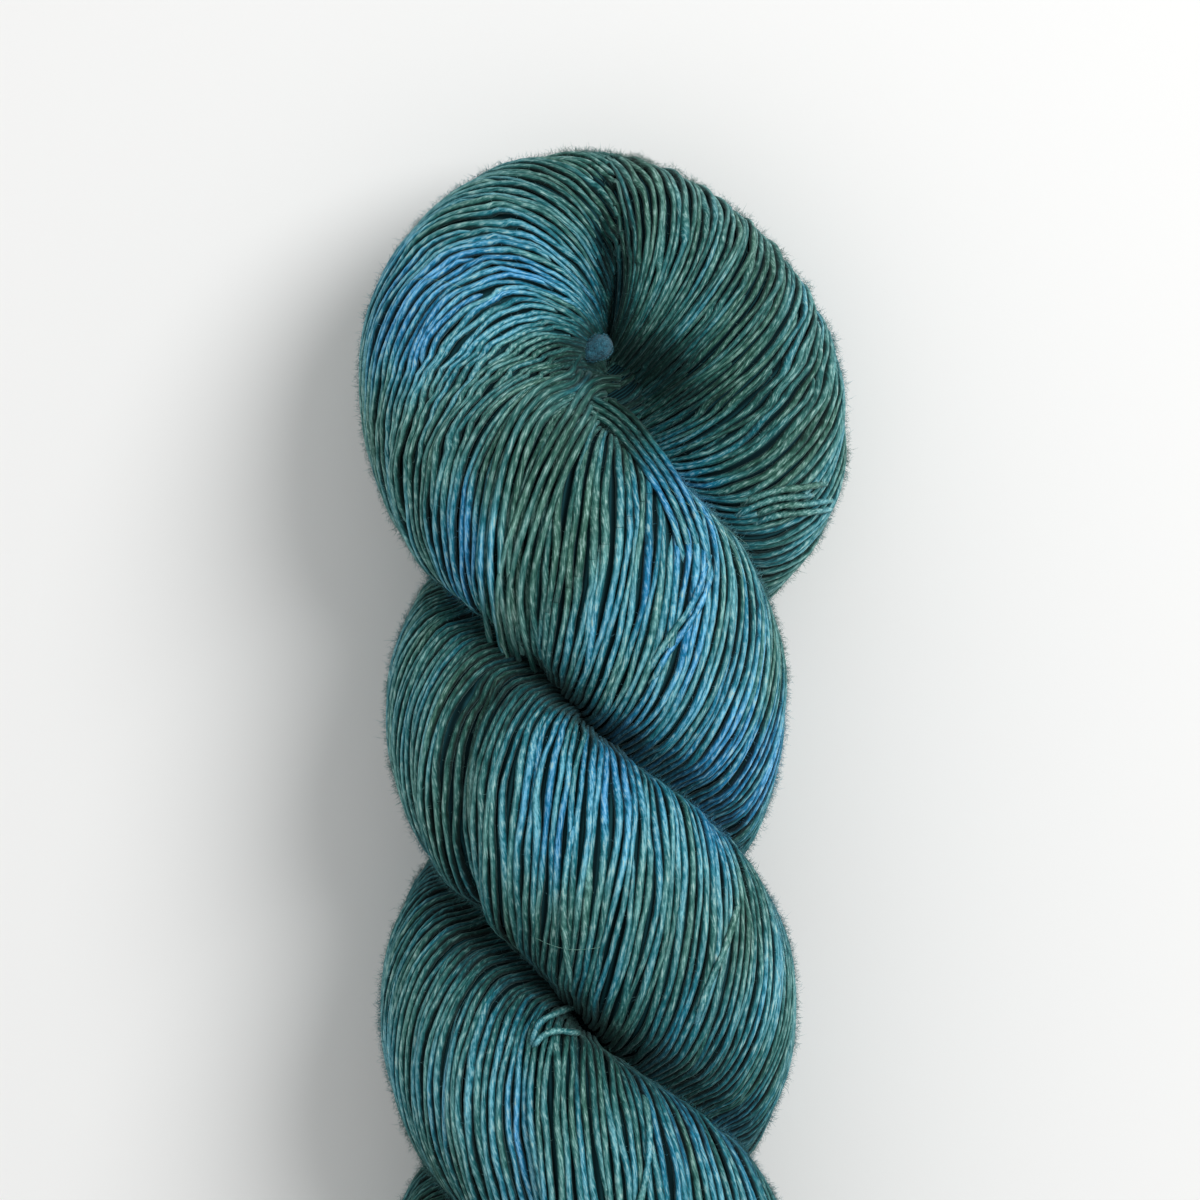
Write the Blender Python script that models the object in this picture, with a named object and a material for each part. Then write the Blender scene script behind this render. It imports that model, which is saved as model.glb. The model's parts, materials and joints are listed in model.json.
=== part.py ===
"""A skein of yarn: a hank wound in one length, twisted, folded in two at its head, and tucked at its foot.

The hank lies on its back along Y with its head at +Y and rests on the plane Z = 0. It is one solid. Two
legs of twisted yarn leave the head and lie round each other as the strands of a rope do. At the foot the
loop of one leg comes out through the loop of the other as a rounded nose. Lengths are in metres.
"""

import collections
import math

import bmesh
import bpy
import numpy as np

# Driving sizes. "Down" is the distance from the top of the head towards the foot.
LAY_LENGTH = 0.096  # one full turn of the two legs round each other
AXIS_SIDE = -0.0024  # the legs' common axis lies a little to the left of the head's middle
AXIS_HEIGHT = 0.0272
LEG_DEEP = 0.0163  # half thickness of a leg, measured out from the common axis
LEG_WIDE = 0.0192  # half width of a leg, across that
LIFT = 0.0136  # how far a leg's middle rises above the common axis and sinks below it
LEFT_LEG_FRONT = 0.066  # down to where the leg from the head's left side first crosses in front
RIGHT_LEG_FRONT = 0.114  # the same for the leg from the head's right side

# The middle that the head winds round, where the head gives way to the legs, and how softly.
HEAD_MIDDLE_SIDE = 0.0003
HEAD_MIDDLE_DOWN = 0.0400
HEAD_MIDDLE_HEIGHT = 0.0210
HEAD_END = 0.0500
MIDDLE_MOVES_FROM = 0.0460
EASE = 0.0040

CREASE_DEPTH = 0.0052  # the fold line across the head's face, from its top to its middle
CREASE_WIDTH = 0.0036
CREASE_END = 0.0400
CREASE_FADE = 0.0100  # the length over which it fades out, up to its end

RING_SPACING = 0.0048  # along a bundle, between one section and the next
SIDES = 24  # of each section
CAP_RISE = 0.0040  # how far a bundle's end bulges past its last section
TRIM_DEPTH = 0.02  # of the block that trims the underside flat
TRIM_MARGIN = 0.04  # how much wider and longer than the hank that block is

# A section of a bundle: where its middle lies, and its half thickness and half width.
Station = collections.namedtuple("Station", "side down height deep wide")

# The head, from the left leg's front crossing round over the top to the right leg's back crossing.
HEAD = [
    Station(-0.0156, 0.0540, 0.0360, 0.0176, 0.0192),
    Station(-0.0200, 0.0395, 0.0285, 0.0190, 0.0188),
    Station(-0.0145, 0.0240, 0.0240, 0.0200, 0.0182),
    Station(-0.0005, 0.0176, 0.0208, 0.0176, 0.0176),
    Station(0.0132, 0.0252, 0.0182, 0.0176, 0.0178),
    Station(0.0204, 0.0400, 0.0166, 0.0186, 0.0180),
    Station(0.0172, 0.0560, 0.0150, 0.0182, 0.0180),
]

# How far to the side each leg swings, by quarter turns after its first front crossing.
Swing = collections.namedtuple("Swing", "quarter reach")
LEFT_LEG = [
    Swing(0, 0.0160),
    Swing(1, 0.0150),
    Swing(1.5, 0.0163),
    Swing(2, 0.0160),
    Swing(3, 0.0168),
    Swing(3.5, 0.0182),
    Swing(4, 0.0168),
    Swing(4.5, 0.0176),
    Swing(5, 0.0166),
    Swing(6, 0.0160),
]
RIGHT_LEG = [
    Swing(-2, 0.0160),
    Swing(-1.5, 0.0138),
    Swing(-1, 0.0160),
    Swing(-0.5, 0.0168),
    Swing(0, 0.0162),
    Swing(0.5, 0.0158),
    Swing(1, 0.0168),
    Swing(1.5, 0.0180),
    Swing(2, 0.0166),
    Swing(3, 0.0164),
    Swing(4, 0.0160),
]

# The yarn pressed together where the legs meet, along their common axis and up into the head's middle.
# It is nearly round, so which way its thickness faces hardly matters: it faces away from a line far
# to the left, FAR_LEFT away.
FAR_LEFT = 1.0
HEART = [
    Station(0.0005, 0.0300, 0.0190, 0.0040, 0.0040),
    Station(0.0003, 0.0400, 0.0200, 0.0075, 0.0075),
    Station(-0.0010, 0.0560, 0.0240, 0.0090, 0.0090),
    Station(AXIS_SIDE, 0.0800, AXIS_HEIGHT, 0.0090, 0.0090),
    Station(AXIS_SIDE, 0.1300, AXIS_HEIGHT, 0.0090, 0.0090),
    Station(AXIS_SIDE, 0.1800, AXIS_HEIGHT, 0.0090, 0.0090),
    Station(AXIS_SIDE, 0.2350, 0.0240, 0.0090, 0.0090),
]

# The last sections of each leg, drawn in towards the common axis and thinner, inside the collar.
LEFT_TAIL = [
    Station(-0.0100, 0.2230, 0.0180, 0.0140, 0.0160),
    Station(-0.0110, 0.2360, 0.0225, 0.0095, 0.0110),
]
RIGHT_TAIL = [
    Station(0.0050, 0.2230, 0.0360, 0.0140, 0.0160),
    Station(0.0070, 0.2360, 0.0280, 0.0095, 0.0110),
]

# The collar is the right leg's own loop, opened round the nose. The nose is the left leg's loop.
COLLAR_DOWN = 0.2340
COLLAR_HEIGHT = 0.0236
COLLAR_REACH = 0.0175  # half its breadth, to the middle of its bundle
COLLAR_LIFT = 0.0145  # half its height, to the middle of its bundle
COLLAR_SLANT = math.radians(14)  # its right side lies lower down the hank than its left
COLLAR_DEEP = 0.0102
COLLAR_WIDE = 0.0116
NOSE = [
    Station(-0.0115, 0.2340, 0.0240, 0.0090, 0.0100),
    Station(-0.0118, 0.2470, 0.0200, 0.0096, 0.0104),
    Station(-0.0085, 0.2550, 0.0165, 0.0098, 0.0102),
    Station(-0.0018, 0.2586, 0.0150, 0.0096, 0.0100),
    Station(0.0050, 0.2550, 0.0158, 0.0098, 0.0102),
    Station(0.0083, 0.2470, 0.0190, 0.0096, 0.0104),
    Station(0.0080, 0.2340, 0.0230, 0.0090, 0.0100),
]

YARN_COLOUR = (0.052, 0.150, 0.158, 1.0)
YARN_ROUGHNESS = 0.8


def leg_stations(swings, front):
    """One section for each eighth of a turn, on a helix whose reach follows the swings."""
    quarters = np.array([row.quarter for row in swings])
    reaches = np.array([row.reach for row in swings])
    found = []
    for turn in np.arange(quarters[0], quarters[-1] + 0.25, 0.5):
        reach = np.interp(turn, quarters, reaches)
        angle = turn * math.pi / 2
        side = AXIS_SIDE + reach * math.sin(angle)
        height = AXIS_HEIGHT + LIFT * math.cos(angle)
        found.append(Station(side, front + turn * LAY_LENGTH / 4, height, LEG_DEEP, LEG_WIDE))
    return found


def smooth_sections(stations):
    """Sections RING_SPACING apart on the natural cubic spline through the stations."""
    values = np.array(stations)
    chords = np.linalg.norm(np.diff(values[:, :3], axis=0), axis=1)
    knots = np.concatenate([[0.0], np.cumsum(chords)])
    count = len(knots)
    system = np.eye(count)
    right = np.zeros_like(values)
    for row in range(1, count - 1):
        before, after = chords[row - 1], chords[row]
        system[row, row - 1 : row + 2] = before, 2 * (before + after), after
        rise_after = (values[row + 1] - values[row]) / after
        rise_before = (values[row] - values[row - 1]) / before
        right[row] = 6 * (rise_after - rise_before)
    bends = np.linalg.solve(system, right)
    at = np.linspace(0, knots[-1], round(knots[-1] / RING_SPACING) + 1)
    span = np.clip(np.searchsorted(knots, at) - 1, 0, count - 2)
    width = chords[span][:, None]
    left = (knots[span + 1] - at)[:, None]
    gone = (at - knots[span])[:, None]
    curve = (bends[span] * left**3 + bends[span + 1] * gone**3) / (6 * width)
    curve += (values[span] / width - bends[span] * width / 6) * left
    return curve + (values[span + 1] / width - bends[span + 1] * width / 6) * gone


def inner_line(down):
    """The line that a bundle winds round: the common axis, and above it the middle of the head."""
    in_head = 1 / (1 + np.exp((down - HEAD_END) / EASE))
    side = AXIS_SIDE * (1 - in_head) + HEAD_MIDDLE_SIDE * in_head
    height = AXIS_HEIGHT * (1 - in_head) + HEAD_MIDDLE_HEIGHT * in_head
    below = HEAD_MIDDLE_DOWN + EASE * np.logaddexp(0, (down - MIDDLE_MOVES_FROM) / EASE)
    return np.stack([side, -below, height], axis=1)


def section_rings(sections, inner, closed=False):
    """Rings of points round a bundle: an ellipse across its path, its thickness turned outwards from
    the inner line."""
    middle = np.stack([sections[:, 0], -sections[:, 1], sections[:, 2]], axis=1)
    if closed:
        along = np.roll(middle, -1, axis=0) - np.roll(middle, 1, axis=0)
    else:
        along = np.gradient(middle, axis=0)
    along /= np.linalg.norm(along, axis=1)[:, None]
    outward = middle - inner
    outward -= (outward * along).sum(axis=1)[:, None] * along
    outward /= np.linalg.norm(outward, axis=1)[:, None]
    across = np.cross(along, outward)
    angle = np.arange(SIDES) * 2 * math.pi / SIDES
    deep = sections[:, 3:4] * np.cos(angle)
    wide = sections[:, 4:5] * np.sin(angle)
    return middle[:, None] + deep[..., None] * outward[:, None] + wide[..., None] * across[:, None]


def creased(rings):
    """Presses the fold line into the face of the head: a narrow trough from its top to its middle."""
    side, down, height = rings[..., 0], -rings[..., 1], rings[..., 2]
    trough = np.exp(-(((side - HEAD[3].side) / CREASE_WIDTH) ** 2))
    on_face = np.clip((height - HEAD[3].height) / HEAD[3].deep, 0, 1)
    in_reach = np.clip((CREASE_END - down) / CREASE_FADE, 0, 1)
    rings[..., 2] -= CREASE_DEPTH * trough * on_face * in_reach
    return rings


def collar_sections():
    """A closed ring of sections, slanted across the foot of the hank."""
    found = []
    steps = round(2 * math.pi * COLLAR_REACH / RING_SPACING)
    for step in range(steps):
        angle = 2 * math.pi * step / steps
        side = COLLAR_REACH * math.cos(angle)
        height = COLLAR_HEIGHT + COLLAR_LIFT * math.sin(angle)
        down = COLLAR_DOWN + side * math.tan(COLLAR_SLANT)
        found.append(Station(AXIS_SIDE + side, down, height, COLLAR_DEEP, COLLAR_WIDE))
    return np.array(found)


def bundle(name, rings, closed=False):
    """A closed mesh through the rings, with round caps on its ends, or joined end to end."""
    mesh = bmesh.new()
    loops = [[mesh.verts.new(point) for point in ring] for ring in rings]
    pairs = list(zip(loops, loops[1:] + loops[:1])) if closed else list(zip(loops, loops[1:]))
    for first, second in pairs:
        for index in range(SIDES):
            after = (index + 1) % SIDES
            mesh.faces.new((first[index], first[after], second[after], second[index]))
    if not closed:
        for loop, inward in ((loops[0], loops[1]), (loops[-1], loops[-2])):
            middle = sum((vert.co for vert in loop), loop[0].co * 0) / SIDES
            before = sum((vert.co for vert in inward), loop[0].co * 0) / SIDES
            tip = mesh.verts.new(middle + (middle - before).normalized() * CAP_RISE)
            for index in range(SIDES):
                mesh.faces.new((loop[index], loop[(index + 1) % SIDES], tip))
    bmesh.ops.recalc_face_normals(mesh, faces=mesh.faces)
    data = bpy.data.meshes.new(name)
    mesh.to_mesh(data)
    mesh.free()
    made = bpy.data.objects.new(name, data)
    bpy.context.scene.collection.objects.link(made)
    return made


def helper(made):
    """A shape that only joins or trims another one."""
    made.hide_render = True
    made.display_type = "WIRE"
    return made


def boolean(target, other, operation):
    """Joins or cuts with another shape. The long bundle lies against itself where its legs cross, so
    the shape's own overlaps are joined as well."""
    modifier = target.modifiers.new(other.name, "BOOLEAN")
    modifier.operation = operation
    modifier.solver = "EXACT"
    modifier.use_self = True
    modifier.object = other
    return modifier


def floor_cutter(low, high):
    """A block under Z = 0 that is wider and longer than the hank."""
    mesh = bmesh.new()
    bmesh.ops.create_cube(mesh, size=1.0)
    size = (high[0] - low[0] + TRIM_MARGIN, high[1] - low[1] + TRIM_MARGIN, TRIM_DEPTH)
    bmesh.ops.scale(mesh, vec=size, verts=mesh.verts)
    bmesh.ops.translate(mesh, vec=(0, 0, -TRIM_DEPTH / 2), verts=mesh.verts)
    data = bpy.data.meshes.new("underside_trim")
    mesh.to_mesh(data)
    mesh.free()
    made = bpy.data.objects.new("underside_trim", data)
    bpy.context.scene.collection.objects.link(made)
    return helper(made)


def yarn_material():
    """Teal wool: matt, with no shine."""
    made = bpy.data.materials.new("yarn")
    made.use_nodes = True
    shader = made.node_tree.nodes["Principled BSDF"]
    shader.inputs["Base Color"].default_value = YARN_COLOUR
    shader.inputs["Roughness"].default_value = YARN_ROUGHNESS
    shader.inputs["Metallic"].default_value = 0.0
    return made


def route():
    """The stations of the one long bundle: up the right leg, over the head and down the left leg."""
    right = leg_stations(RIGHT_LEG, RIGHT_LEG_FRONT) + RIGHT_TAIL
    left = leg_stations(LEFT_LEG, LEFT_LEG_FRONT) + LEFT_TAIL
    return right[::-1] + HEAD[::-1] + left


def hank():
    """The one solid: the long bundle, the yarn pressed in its heart, the nose and the collar, joined."""
    long_way = smooth_sections(route())
    heart = smooth_sections(HEART)
    heart_inner = np.stack([heart[:, 0] - FAR_LEFT, -heart[:, 1], heart[:, 2]], axis=1)
    nose = smooth_sections(NOSE)
    nose_inner = np.tile([NOSE[3].side, -COLLAR_DOWN, COLLAR_HEIGHT], (len(nose), 1))
    collar = collar_sections()
    collar_inner = collar[:, :3] * [0, -1, 0] + [AXIS_SIDE, 0, COLLAR_HEIGHT]
    shapes = {
        "hank": creased(section_rings(long_way, inner_line(long_way[:, 1]))),
        "heart": section_rings(heart, heart_inner),
        "nose": section_rings(nose, nose_inner),
        "collar": section_rings(collar, collar_inner, closed=True),
    }
    points = np.concatenate([rings.reshape(-1, 3) for rings in shapes.values()])
    low, high = points.min(axis=0), points.max(axis=0)
    middle = (low + high) / 2 * [1, 1, 0]
    made = {name: bundle(name, rings - middle, closed=name == "collar") for name, rings in shapes.items()}
    whole = made.pop("hank")
    for other in made.values():
        boolean(whole, helper(other), "UNION")
    boolean(whole, floor_cutter(low, high), "DIFFERENCE")
    whole.data.materials.append(yarn_material())
    whole.data.shade_smooth()
    return whole


for old in list(bpy.data.objects):
    bpy.data.objects.remove(old)
hank()
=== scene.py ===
"""The looks of a twisted skein of single-ply wool: its turns of yarn, their dye, their fuzz, and a floor."""
import collections
import json

import bpy
import numpy as np
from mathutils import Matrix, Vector

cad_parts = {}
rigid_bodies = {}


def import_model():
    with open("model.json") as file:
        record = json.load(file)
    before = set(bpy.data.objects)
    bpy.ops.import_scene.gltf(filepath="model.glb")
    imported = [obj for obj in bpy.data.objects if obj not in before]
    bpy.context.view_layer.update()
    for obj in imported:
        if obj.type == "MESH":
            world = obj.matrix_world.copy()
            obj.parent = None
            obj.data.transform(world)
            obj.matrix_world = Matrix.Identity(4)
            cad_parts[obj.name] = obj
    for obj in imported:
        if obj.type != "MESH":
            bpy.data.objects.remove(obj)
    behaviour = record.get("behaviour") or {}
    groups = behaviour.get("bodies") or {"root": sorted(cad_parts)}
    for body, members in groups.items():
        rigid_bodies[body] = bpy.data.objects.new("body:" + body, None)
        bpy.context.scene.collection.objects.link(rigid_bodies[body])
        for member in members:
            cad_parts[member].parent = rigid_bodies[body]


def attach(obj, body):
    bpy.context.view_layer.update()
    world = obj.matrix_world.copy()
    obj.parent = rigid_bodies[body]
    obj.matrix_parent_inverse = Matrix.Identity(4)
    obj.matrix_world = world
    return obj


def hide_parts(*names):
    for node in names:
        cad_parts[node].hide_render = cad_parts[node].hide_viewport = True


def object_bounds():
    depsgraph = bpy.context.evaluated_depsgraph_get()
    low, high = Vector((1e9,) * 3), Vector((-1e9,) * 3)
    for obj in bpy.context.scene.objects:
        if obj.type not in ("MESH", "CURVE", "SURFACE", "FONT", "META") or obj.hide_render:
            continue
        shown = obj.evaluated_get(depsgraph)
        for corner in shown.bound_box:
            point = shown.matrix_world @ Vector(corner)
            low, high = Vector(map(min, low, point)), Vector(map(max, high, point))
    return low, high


for old in list(bpy.data.objects):
    bpy.data.objects.remove(old)

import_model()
cad_low, cad_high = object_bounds()

# --- The hank's inside ---------------------------------------------------------------------------
# One long bundle of turns of wool yarn goes up the right leg, over the head and down the left leg, and
# its own twist holds it. Inside, the turns are pressed tight, and show only as the dark between the
# outer ones, drawn as a sheet in painted shade. "Down" is the distance from the top of the head, and
# lengths are in metres.
LAY_LENGTH = 0.096  # of one whole turn of the legs round each other
AXIS_SIDE = -0.0024  # where the legs' common axis lies
AXIS_HEIGHT = 0.0272
LEG_DEEP = 0.0163  # half a leg's size, outward from that axis and across
LEG_WIDE = 0.0192
LIFT = 0.0136  # how far a leg's middle rises over the axis and sinks under it
LEFT_LEG_FRONT = 0.066  # how far down each leg first lies on top
RIGHT_LEG_FRONT = 0.114

# A place on a bundle's way: where its middle lies, and half its size outward and across.
Station = collections.namedtuple("Station", "side down height deep wide")
# The head, from the top of the left leg over its own top to the top of the right leg.
HEAD = [
    Station(-0.0156, 0.0540, 0.0360, 0.0176, 0.0192),
    Station(-0.0200, 0.0395, 0.0285, 0.0190, 0.0188),
    Station(-0.0145, 0.0240, 0.0240, 0.0200, 0.0182),
    Station(-0.0005, 0.0176, 0.0208, 0.0176, 0.0176),
    Station(0.0132, 0.0252, 0.0182, 0.0176, 0.0178),
    Station(0.0204, 0.0400, 0.0166, 0.0186, 0.0180),
    Station(0.0172, 0.0560, 0.0150, 0.0182, 0.0180),
]
# The heart, from the head's middle down between the legs.
HEART = [
    Station(0.0005, 0.0300, 0.0190, 0.0040, 0.0040),
    Station(0.0003, 0.0400, 0.0200, 0.0075, 0.0075),
    Station(-0.0010, 0.0560, 0.0240, 0.0090, 0.0090),
    Station(AXIS_SIDE, 0.0800, AXIS_HEIGHT, 0.0090, 0.0090),
    Station(AXIS_SIDE, 0.1300, AXIS_HEIGHT, 0.0090, 0.0090),
    Station(AXIS_SIDE, 0.1800, AXIS_HEIGHT, 0.0090, 0.0090),
    Station(AXIS_SIDE, 0.2350, 0.0240, 0.0090, 0.0090),
]
# The legs' lower ends, which narrow into the collar.
LEFT_TAIL = [
    Station(-0.0100, 0.2230, 0.0180, 0.0140, 0.0160),
    Station(-0.0110, 0.2360, 0.0225, 0.0095, 0.0110),
]
RIGHT_TAIL = [
    Station(0.0050, 0.2230, 0.0360, 0.0140, 0.0160),
    Station(0.0070, 0.2360, 0.0280, 0.0095, 0.0110),
]
# How far a leg's middle swings aside from the axis, at so many quarters of a turn past its front.
Swing = collections.namedtuple("Swing", "quarter reach")
LEFT_LEG = [
    Swing(0, 0.0160),
    Swing(1, 0.0150),
    Swing(1.5, 0.0163),
    Swing(2, 0.0160),
    Swing(3, 0.0168),
    Swing(3.5, 0.0182),
    Swing(4, 0.0168),
    Swing(4.5, 0.0176),
    Swing(5, 0.0166),
    Swing(6, 0.0160),
]
RIGHT_LEG = [
    Swing(-2, 0.0160),
    Swing(-1.5, 0.0138),
    Swing(-1, 0.0160),
    Swing(-0.5, 0.0168),
    Swing(0, 0.0162),
    Swing(0.5, 0.0158),
    Swing(1, 0.0168),
    Swing(1.5, 0.0180),
    Swing(2, 0.0166),
    Swing(3, 0.0164),
    Swing(4, 0.0160),
]
COLLAR_DOWN = 0.2340  # where the middle of the collar lies, and half its size
COLLAR_HEIGHT = 0.0236
COLLAR_REACH = 0.0175
COLLAR_LIFT = 0.0145
COLLAR_SLANT = np.radians(14)
COLLAR_DEEP = 0.0102  # half the size of the bundle that it is made of
COLLAR_WIDE = 0.0116
# The loop at the foot, which comes out of the collar and goes back into it.
NOSE = [
    Station(-0.0115, 0.2340, 0.0240, 0.0090, 0.0100),
    Station(-0.0118, 0.2470, 0.0200, 0.0096, 0.0104),
    Station(-0.0085, 0.2550, 0.0165, 0.0098, 0.0102),
    Station(-0.0018, 0.2586, 0.0150, 0.0096, 0.0100),
    Station(0.0050, 0.2550, 0.0158, 0.0098, 0.0102),
    Station(0.0083, 0.2470, 0.0190, 0.0096, 0.0104),
    Station(0.0080, 0.2340, 0.0230, 0.0090, 0.0100),
]


def leg_stations(swings, front):
    """One section for each eighth of a turn on a helix: side = axis + reach sin(turn), height = axis +
    lift cos(turn), down grows evenly."""
    quarters, reaches = np.array(swings).T
    quarter = np.arange(quarters[0], quarters[-1] + 0.25, 0.5)
    reach = np.interp(quarter, quarters, reaches)
    angle = quarter * np.pi / 2
    side = AXIS_SIDE + reach * np.sin(angle)
    height = AXIS_HEIGHT + LIFT * np.cos(angle)
    down = front + quarter * LAY_LENGTH / 4
    return [Station(*row, LEG_DEEP, LEG_WIDE) for row in zip(side, down, height)]


def spline_knots(stations):
    """How far along the way each station lies: the sum of the straight lengths between them."""
    chords = np.linalg.norm(np.diff(np.array(stations)[:, :3], axis=0), axis=1)
    return np.concatenate([[0.0], np.cumsum(chords)])


def sections_at(stations, way):
    """The natural cubic spline through the stations, read at each distance along the way. Its bends
    solve one equation for each inner station, and are 0 at both ends."""
    values, knots = np.array(stations), spline_knots(stations)
    chords, count = np.diff(knots), len(knots)
    system, right = np.eye(count), np.zeros_like(values)
    inner = np.arange(1, count - 1)
    system[inner, inner - 1] = chords[:-1]
    system[inner, inner] = 2 * (chords[:-1] + chords[1:])
    system[inner, inner + 1] = chords[1:]
    rises = np.diff(values, axis=0) / chords[:, None]
    right[inner] = 6 * np.diff(rises, axis=0)
    bends = np.linalg.solve(system, right)
    span = np.clip(np.searchsorted(knots, way) - 1, 0, count - 2)
    width = chords[span][:, None]
    left = (knots[span + 1] - way)[:, None]
    gone = (way - knots[span])[:, None]
    curve = (bends[span] * left**3 + bends[span + 1] * gone**3) / (6 * width)
    curve += (values[span] / width - bends[span] * width / 6) * left
    return curve + (values[span + 1] / width - bends[span + 1] * width / 6) * gone


HEAD_MIDDLE = Station(0.0003, 0.040, 0.0210, 0, 0)
HEAD_END = 0.050  # where the head's middle line goes over into the legs' axis
HEAD_EASE = 0.004


def inner_line(down):
    """The line that the long bundle winds round: the middle of the head, which goes over into the legs'
    axis by 1 / (1 + exp((down - end) / ease)). It stays at the head's middle until the bundle has passed
    that, and then keeps beside it."""
    in_head = 1 / (1 + np.exp((down - HEAD_END) / HEAD_EASE))
    side = AXIS_SIDE * (1 - in_head) + HEAD_MIDDLE.side * in_head
    height = AXIS_HEIGHT * (1 - in_head) + HEAD_MIDDLE.height * in_head
    passed = HEAD_END - HEAD_EASE
    below = HEAD_MIDDLE.down + HEAD_EASE * np.logaddexp(0, (down - passed) / HEAD_EASE)
    return np.stack([side, -below, height], axis=1)


def unit(vectors):
    """Each vector over its own length."""
    return vectors / np.maximum(np.linalg.norm(vectors, axis=-1, keepdims=True), 1e-12)


# The frame of every section along a bundle, and half its size outward and across.
Bundle = collections.namedtuple("Bundle", "middle along outward across deep wide")


def bundle_of(sections, inner, closed=False):
    """The frame of each section: along the way, outward from the inner line, and across both."""
    middle = np.stack([sections[:, 0], -sections[:, 1], sections[:, 2]], axis=1)
    if closed:
        along = np.roll(middle, -1, axis=0) - np.roll(middle, 1, axis=0)
    else:
        along = np.gradient(middle, axis=0)
    along = unit(along)
    outward = middle - inner
    outward = unit(outward - (outward * along).sum(axis=1)[:, None] * along)
    return Bundle(middle, along, outward, np.cross(along, outward), sections[:, 3], sections[:, 4])


def on_bundle(bundle, angle, depth):
    """Points at an angle round each section: middle + (deep - depth) cos outward + (wide - depth) sin
    across. The angle's last axis runs along the way."""
    out = (bundle.deep - depth) * np.cos(angle)
    over = (bundle.wide - depth) * np.sin(angle)
    return bundle.middle + out[..., None] * bundle.outward + over[..., None] * bundle.across


def all_round(sides, count):
    """Angles evenly round a bundle, the same at each of so many sections."""
    return np.repeat(np.arange(sides)[:, None] * 2 * np.pi / sides, count, axis=1)


UNDER = 0.002  # a step inwards, to find which way is out


def skin_normal(bundle, angle):
    """The way out of the bundle's skin: from a little under it to the skin itself."""
    return unit(on_bundle(bundle, angle, 0) - on_bundle(bundle, angle, UNDER))


CREASE_DEPTH = 0.0068  # the fold line on the head's face
CREASE_WIDTH = 0.0030
CREASE_END = 0.040
CREASE_FADE = 0.010


def creased(points):
    """Presses the fold line into the face of the head: a narrow trough, exp(-(side / width)²) in section,
    from its top to its middle."""
    side, down, height = points[..., 0], -points[..., 1], points[..., 2]
    trough = np.exp(-(((side - HEAD[3].side) / CREASE_WIDTH) ** 2))
    on_face = np.clip((height - HEAD[3].height) / HEAD[3].deep, 0, 1)
    in_reach = np.clip((CREASE_END - down) / CREASE_FADE, 0, 1)
    pressed = points.copy()
    pressed[..., 2] -= CREASE_DEPTH * trough * on_face * in_reach
    return pressed


FOLD_DEPTH = 0.0060  # the fold of the head, where one lobe dives under the other
FOLD_RIGHT = 0.0014
FOLD_LEFT = 0.0032


def folded_head(points, bundle, angle, way):
    """The fold of the head, where its left lobe dives under its right one: points go towards the middle
    of the section by FOLD_DEPTH (1 - cos angle) / 2, which falls off steeply to the right and slowly to
    the left."""
    past = way - TOP
    fall = np.where(past < 0, np.exp(-((past / FOLD_RIGHT) ** 2)), np.exp(-past / FOLD_LEFT))
    inward = unit(bundle.middle - points)
    return points + inward * (FOLD_DEPTH * fall * (1 - np.cos(angle)) / 2)[..., None]


HOLLOW_SIDE = 0.0052  # the hollow in the middle of the head
HOLLOW_DOWN = 0.0372
HOLLOW_WIDE = 0.0065
HOLLOW_LONG = 0.0055
HOLLOW_DEPTH = 0.0075
FACE_HEIGHT = 0.012  # from this height up, the hollow presses the head's face down
FACE_RISE = 0.010  # and over this much more it comes to its full depth


def hollowed(points):
    """The hollow in the middle of the head: the face goes down by HOLLOW_DEPTH exp(-distance²)."""
    pressed = points.copy()
    aside = (points[..., 0] - HOLLOW_SIDE) / HOLLOW_WIDE
    ahead = (points[..., 1] + HOLLOW_DOWN) / HOLLOW_LONG
    on_face = np.clip((points[..., 2] - FACE_HEIGHT) / FACE_RISE, 0, 1)
    pressed[..., 2] -= HOLLOW_DEPTH * np.exp(-(aside**2 + ahead**2)) * on_face
    return pressed


way_up = (leg_stations(RIGHT_LEG, RIGHT_LEG_FRONT) + RIGHT_TAIL)[::-1]
LONG_WAY = way_up + HEAD[::-1] + leg_stations(LEFT_LEG, LEFT_LEG_FRONT) + LEFT_TAIL
KNOTS = spline_knots(LONG_WAY)
# Where the way leaves the back of the right leg, passes the head's sides and top, and joins the left leg.
passes = len(way_up) - 1 + np.array([0, 2, 4, 6, 8])
RIGHT_BACK, RIGHT_SIDE, TOP, LEFT_SIDE, LEFT_FRONT = KNOTS[passes]


def long_bundle(way):
    """The frames of the long bundle at each distance along its way."""
    sections = sections_at(LONG_WAY, way)
    return bundle_of(sections, inner_line(sections[:, 1]))


# The move from the hank's own measures to the frame: its middle and the top of its head meet the CAD's.
coarse = long_bundle(np.linspace(0, KNOTS[-1], 240))
skin = creased(on_bundle(coarse, all_round(48, 240), 0))
SHIFT = np.array([(cad_low[0] + cad_high[0]) / 2, cad_high[1] - skin[..., 1].max(), 0.0])
SHIFT[0] -= (skin[..., 0].min() + skin[..., 0].max()) / 2


def add_mesh(name, points, loops, starts):
    """A mesh from whole arrays: its points, the corners of all its faces in one row, and where each
    face starts in that row. Points are moved from the hank's own measures to the frame."""
    mesh = bpy.data.meshes.new(name)
    mesh.vertices.add(len(points))
    mesh.vertices.foreach_set("co", (points + SHIFT).astype(np.float32).ravel())
    mesh.loops.add(len(loops))
    mesh.loops.foreach_set("vertex_index", loops.astype(np.int32))
    mesh.polygons.add(len(starts))
    mesh.polygons.foreach_set("loop_start", starts.astype(np.int32))
    mesh.update(calc_edges=True)
    mesh.validate()
    mesh.shade_smooth()
    made = bpy.data.objects.new(name, mesh)
    bpy.context.scene.collection.objects.link(made)
    return made


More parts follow.
